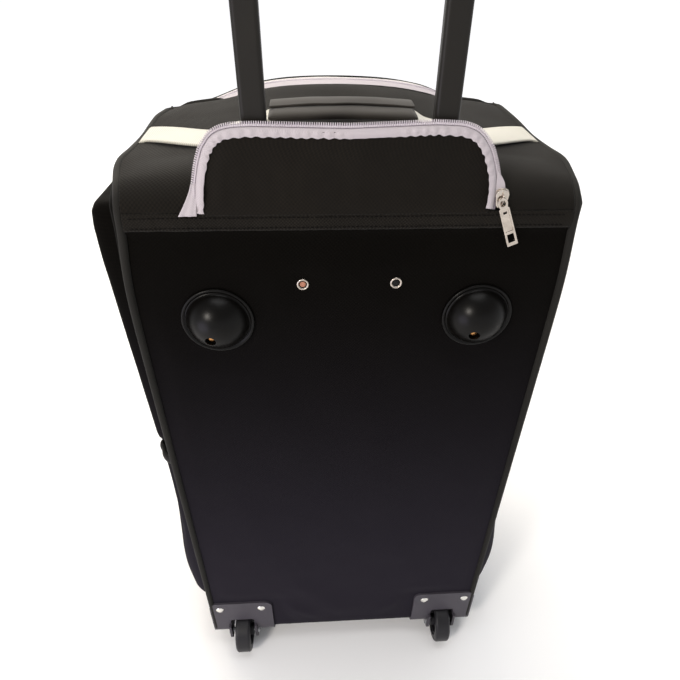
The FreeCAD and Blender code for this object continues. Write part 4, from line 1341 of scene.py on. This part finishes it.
def closed_pocket(name, node, axis, lo, hi, corner, opening, body, line):
    """Stuffed pocket with its welt and placket. lo and hi are as in pocket_shell, opening is a height."""
    def held(p):
        return 1.0 if stand(axis, 0, 0, 1).dot(p) < lo[2] + 1.5 or abs(p.z - opening) < 11 else 0.0

    piece = pocket_shell(name + "_cloth", lo, hi, axis, corner)
    hang(piece, held, 2.2, 7, finish_shell(1.6))
    pocket_welt(name + "_piping", lo, hi, axis, lo[2] + 1.6, corner, body)
    placket(name + "_placket", line, facing(*stand(axis, 0, 0, 1)), body)
    own(piece, body, "polyester", node)


def build_pockets():
    """Front pocket, the pocket high on the left, and the open pouches."""
    lo, hi = local("front_pocket")
    face = hi.y - 3
    opening = hi.z - 44
    line = [Vector((x, face, opening)) for x in range(-112, 113, 4)]
    closed_pocket("front_pocket", "front_pocket", "Y", (lo.x, lo.z, COVER_Y), (hi.x, hi.z, face), 26, opening,
                  "cover", line)
    lo, hi = local("side_pocket_upper_left")
    face = -lo.x - 3
    line = [Vector((-face, y, UPPER_OPENING_Z)) for y in range(int(lo.y) + 18, int(hi.y) - 16, 4)]
    closed_pocket("upper_pocket", "side_pocket_upper_left", "-X", (lo.y, lo.z, HALF_W), (hi.y, hi.z, face), 14,
                  UPPER_OPENING_Z, "bag", line)
    pouch(-1, "side_pouch_left")
    pouch(1, "side_pouch_right")


# ---------------------------------------------------------------- inside

BALL_R = 109.5
BALL_Y = 162        # how far in front of the back panel a ball's centre lies


def ball_cradle(level):
    """Foam block with a dish that a ball leans in."""
    lo, hi = local("ball_cradle_" + level)
    mid = (lo + hi) / 2

    def place(u, v):
        a, b = 2 * u - 1, 2 * v - 1
        m = max(abs(a), abs(b), 0.001)
        p, q = rounded_plan(a / m, b / m, (hi.x - lo.x) / 2, (hi.z - lo.z) / 2, 18)
        p, q = p * min(1, m * 1.12), q * min(1, m * 1.12)
        dish = BALL_Y - math.sqrt(BALL_R ** 2 - min(100, math.hypot(p, q)) ** 2)
        # the lower of the block's face and the dish, with a soft edge between them
        face = hi.y - 1.5 * math.log(1 + math.exp((hi.y - dish) / 1.5)) + 0.4 * ripple(p, q, 93, 0.05)
        rise = smooth((1 - m) / 0.1)
        return Vector((mid.x + p, lo.y + 0.4 + (face - lo.y - 0.4) * rise, mid.z + q))

    piece = grid("cradle_" + level + "_foam", 64, 64, place, foam)
    own(thicken(piece, 1.5, 1.0), "bag", "foam", "ball_cradle_" + level)


def build_lining():
    """Lining of the ball compartment, and its three cradles."""
    lo, hi = local("lining_panel")
    levels = ("lower", "middle", "upper")
    centres = [sum(local("ball_cradle_" + level), Vector()) / 2 for level in levels]

    def place(u, v):
        x = lo.x + (hi.x - lo.x) * u
        z = lo.z + (hi.z - lo.z) * v
        loose = smooth(min(u, 1 - u) * 12) * smooth(min(v, 1 - v) * 16)
        for mid in centres:
            loose *= smooth((max(abs(x - mid.x), abs(z - mid.z)) - 62) / 20)
        slack = 1.6 + 1.6 * ripple(x, z, 94, 0.02) + 0.6 * ripple(x, z, 95, 0.07)
        return Vector((x, hi.y - 0.6 + loose * slack, z))

    def clear(p):
        return not (117 < abs(p.x) < 162 and p.z < 72)

    cloth = grid("lining_cloth", 90, 120, place, lining_cloth, clear)
    own(thicken(cloth, 1.6), "bag", "lining", "lining_panel")
    for level in levels:
        ball_cradle(level)


def build_inside():
    """Lining, and the well that the grip sinks into."""
    build_lining()
    floor_z = local("stow_well")[0].z + 2.0
    back = 6.5
    ring = mouth_outline(-1.5, 130) + [Vector((x, back, 0)) for x in range(108, -109, -6)]

    def wall(u, v):
        p = ring[round(u * len(ring)) % len(ring)]
        top = top_height(p.x, max(p.y, 0.5)) - 9 if p.y > 7 else SEAM_Z - 2
        z = floor_z + (top - floor_z) * v
        slack = 1.6 * ripple(p.x + p.y * 2, z, 91, 0.03) * math.sin(math.pi * v) if p.y > 20 else 0
        return Vector((p.x * (1 - 0.006 * math.sin(math.pi * v)), max(p.y, back) - abs(slack), z))

    def base(u, v):
        a = mouth_outline(-1.5, 60)[round(u * 60)]
        return Vector((a.x, back + (max(a.y, back) - back) * v, floor_z - 0.5))

    def off_tubes(p):
        return not (54 < abs(p.x) < 82 and p.y < 31)

    own(grid("well_cloth", len(ring), 16, wall, lining_cloth, closed=True), "bag", "lining", "stow_well")
    own(grid("well_floor", 60, 20, base, lining_cloth, off_tubes), "bag", "lining")


# ---------------------------------------------------------------- hardware

OUT_BACK = (0, -1, 0)


def build_bumper(sign, name):
    """Domed stand-off with a rolled rim. A low hole shows the head of its screw."""
    x, z = sign * BUMPER[0], BUMPER[1]
    profile = [(0.01, 22.0), (4, 21.8), (8, 21.0), (12, 19.4), (16, 17.0), (19.5, 13.9), (22.2, 10.6),
               (24.4, 7.2), (25.6, 4.4), (26.2, 2.6), (27.0, 2.2), (27.8, 2.7), (28.8, 3.1), (29.8, 2.9),
               (30.3, 2.0), (30.4, 0.2), (28, 0.0), (0.01, 0.0)]
    dome = lathe("bumper_dome", profile, (x, 0, z), OUT_BACK, bumper_abs, 64)
    bore = lathe("bore", [(4.6, 6.0), (4.6, 30.0)], (x - 5, 0, z - 8.5), OUT_BACK, bumper_abs, 28)
    cut = dome.modifiers.new("screw_hole", "BOOLEAN")
    cut.object = bore
    cut.operation = "DIFFERENCE"
    piece = join("bumper_" + name + "_dome", [dome])
    bpy.data.objects.remove(bore)
    round_off(piece, 0.5, 2, 0.9)
    own(piece, "bag", "bumper", "bumper_" + name)
    profile = [(0.01, 16.4), (2.4, 16.1), (3.4, 15.2), (3.6, 9.0)]
    head = lathe("bumper_screw_" + name, profile, (x - 4.5, 0, z - 7.9), OUT_BACK, brass, 24)
    own(head, "bag", "brass", *(["bumper_screws"] if sign > 0 else []))


def build_eyelet(sign, name, core):
    """Set rivet: a nickel rim round a sunk core."""
    centre = (sign * EYELET[0], 0, EYELET[1])
    profile = [(3.3, 1.0), (3.5, 2.0), (4.2, 2.4), (4.9, 1.9), (5.2, 0.4), (5.2, -1.0)]
    rim = lathe("eyelet_rim_" + name, profile, centre, OUT_BACK, nickel, 32)
    own(rim, "bag", "nickel", *(["back_eyelets"] if sign > 0 else []))
    dish = [(0.01, 1.4), (2.4, 1.2), (3.4, 1.2)] if sign < 0 else [(0.01, -3.0), (3.4, -2.0), (3.4, 1.2)]
    own(lathe("eyelet_core_" + name, dish, centre, OUT_BACK, core, 24), "bag", "nickel")


def slider_and_pull(slider, pull, shift, hang_at, along, out, down, bodies):
    """Slider on its CAD node, and its pull. shift and hang_at are offsets from the slider's middle."""
    lo, hi = local(slider)
    middle = (lo + hi) / 2
    zip_slider(slider, middle + Vector(shift), along, out, bodies[0])
    lo, hi = local(pull)
    hinge = middle + Vector(hang_at)
    axis = 0 if out[0] else 1
    hinge[axis] = (lo[axis] + hi[axis]) / 2 + hang_at[axis]
    zip_pull(pull, hinge, down, out, bodies[1])


def build_hardware():
    """Bumpers, eyelets, zip sliders and pulls."""
    for sign, name in ((-1, "left"), (1, "right")):
        build_bumper(sign, name)
        build_eyelet(sign, name, copper if sign < 0 else shadow)
    lean = math.radians(23)
    slider_and_pull("stow_slider", "stow_pull", (-2.0, 0.9, -2.2), (-2.2, -0.4, -3.4), (0, 0, 1), OUT_BACK,
                    (math.sin(lean), 0, -math.cos(lean)), ("bag", "flap_pull"))
    for sign, side in ((-1, "left"), (1, "right")):
        slider_and_pull("main_slider_" + side, "main_pull_" + side, (-sign * 0.8, 0, 0), (0, 0, 0), (0, 0, 1),
                        (sign, 0, 0), (0, 0, -1), ("zip_slider_" + side, "zip_pull_" + side))
    slider_and_pull("cover_slider", "cover_pull", (0, 1.5, 0), (0, 2.0, 0), (1, 0, 0), (0, 1, 0), (0, 0, -1),
                    ("pocket_slider", "pocket_pull"))


def build_body():
    """All cloth of the tub."""
    back_cloth()
    underside()
    top_cloth()
    for sign, node in ((-1, "left"), (1, "right")):
        side_cloth(sign, "side_panel_" + node)
        side_piping(sign, node)


def finish_cad_nodes():
    """Finish of every CAD piece that stays visible."""
    finishes = {
        "corner_plate_left corner_plate_right": corner_abs,
        "plate_rivets": rivet_steel,
        "wheel_tyre_left wheel_tyre_right": tyre_pu,
        "wheel_hub_left wheel_hub_right": hub_pp,
        "wheel_axles foot_screws button_spring": steel,
        "outer_tube_left outer_tube_right": outer_alu,
        "inner_tube_left inner_tube_right": tube_coat,
        "trolley_grip": grip_rubber,
        "grip_button": button_abs,
        "tube_bezel tube_bracket inner_tube_feet front_feet": corner_abs,
        "back_board base_board": board_pe,
    }
    for names, material in finishes.items():
        for name in names.split():
            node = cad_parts[name]
            node.data.materials.clear()
            node.data.materials.append(material)


def add_camera():
    """Camera close behind the bag and above it, looking down on its back."""
    pitch, yaw, roll = 0.6774, 0.0739, -0.0197
    ahead = Vector((math.sin(yaw), math.cos(yaw), 0))
    forward = ahead * math.cos(pitch) - Vector((0, 0, math.sin(pitch)))
    right = Vector((math.cos(yaw), -math.sin(yaw), 0))
    down = -ahead * math.sin(pitch) - Vector((0, 0, math.cos(pitch)))
    x_axis = right * math.cos(roll) + down * math.sin(roll)
    y_axis = right * math.sin(roll) - down * math.cos(roll)
    cam = bpy.data.cameras.new("camera")
    cam.lens = 29.54
    cam.shift_x = -0.0118
    cam.shift_y = 0.0559
    cam.clip_start = 0.01
    eye = bpy.data.objects.new("camera", cam)
    turn = Matrix((x_axis, y_axis, -forward)).transposed()
    eye.matrix_world = Matrix.Translation(at(-29.4, -401.5, SEAM_Z + 164.4)) @ turn.to_4x4()
    bpy.context.scene.collection.objects.link(eye)
    bpy.context.scene.camera = eye


# name, place in mm, size in m, power in W, colour
LAMPS = (
    ("window", (-600, 1500, 1700), 2.0, 30, "#fff4e2"),
    ("overhead", (100, 300, 2200), 1.6, 22, "#ffffff"),
    ("fill", (-900, -1100, 1300), 0.34, 14, "#fff8ee"),
    ("low_fill", (-1100, -900, 260), 0.9, 5.5, "#ece6ff"),
)


def add_light():
    """Soft lamps, and a world that is brightest near the horizon."""
    world = bpy.data.worlds.new("studio")
    bpy.context.scene.world = world
    world.use_nodes = True
    background = world.node_tree.nodes["Background"]
    background.inputs["Color"].default_value = linear("#fdfdff")
    way = add(world, "ShaderNodeTexCoord").outputs["Generated"]
    height = add(world, "ShaderNodeSeparateXYZ", {0: way}).outputs["Z"]
    level = add(world, "ShaderNodeMapRange", {"Value": height}, From_Min=0.12, From_Max=0.45, To_Min=1.0,
                To_Max=0.45)
    feed(background, Strength=level.outputs[0])
    for name, place, size, power, colour in LAMPS:
        lamp = bpy.data.lights.new(name, "AREA")
        lamp.shape = "DISK"
        lamp.size = size
        lamp.energy = power
        lamp.color = linear(colour)[:3]
        thing = bpy.data.objects.new(name, lamp)
        thing.location = at(*place)
        aim = at(0, 100, 400) - thing.location
        thing.rotation_euler = aim.to_track_quat("-Z", "Y").to_euler()
        bpy.context.scene.collection.objects.link(thing)


def add_floor():
    """White floor that glows away from the bag, so that it runs into the background."""
    material, shader = new_material("studio_floor", Roughness=0.9, Emission_Color=(1, 1, 1, 1))
    place = add(material, "ShaderNodeTexCoord").outputs["Object"]
    tone = mix_colour(material, cloudy(material, place, 1.5), "#fbfbfb", "#ffffff")
    away = add(material, "ShaderNodeVectorMath", {0: place}, operation="LENGTH").outputs["Value"]
    glow = add(material, "ShaderNodeMapRange", {"Value": away}, interpolation_type="SMOOTHSTEP", From_Min=0.7,
               From_Max=3.0, To_Max=0.55)
    feed(shader, Base_Color=tone, Emission_Strength=glow.outputs[0])
    span = 30000
    corners = [at(x, y, 0) for x, y in ((-span, -span), (span, -span), (span, span), (-span, span))]
    build("floor", corners, [(0, 1, 2, 3)], material)


add_camera()
add_light()
add_floor()
bpy.context.scene.view_settings.view_transform = "Standard"
finish_cad_nodes()
build_body()
build_flap()
build_handle()
build_front()
build_pockets()
build_inside()
build_hardware()
settle()
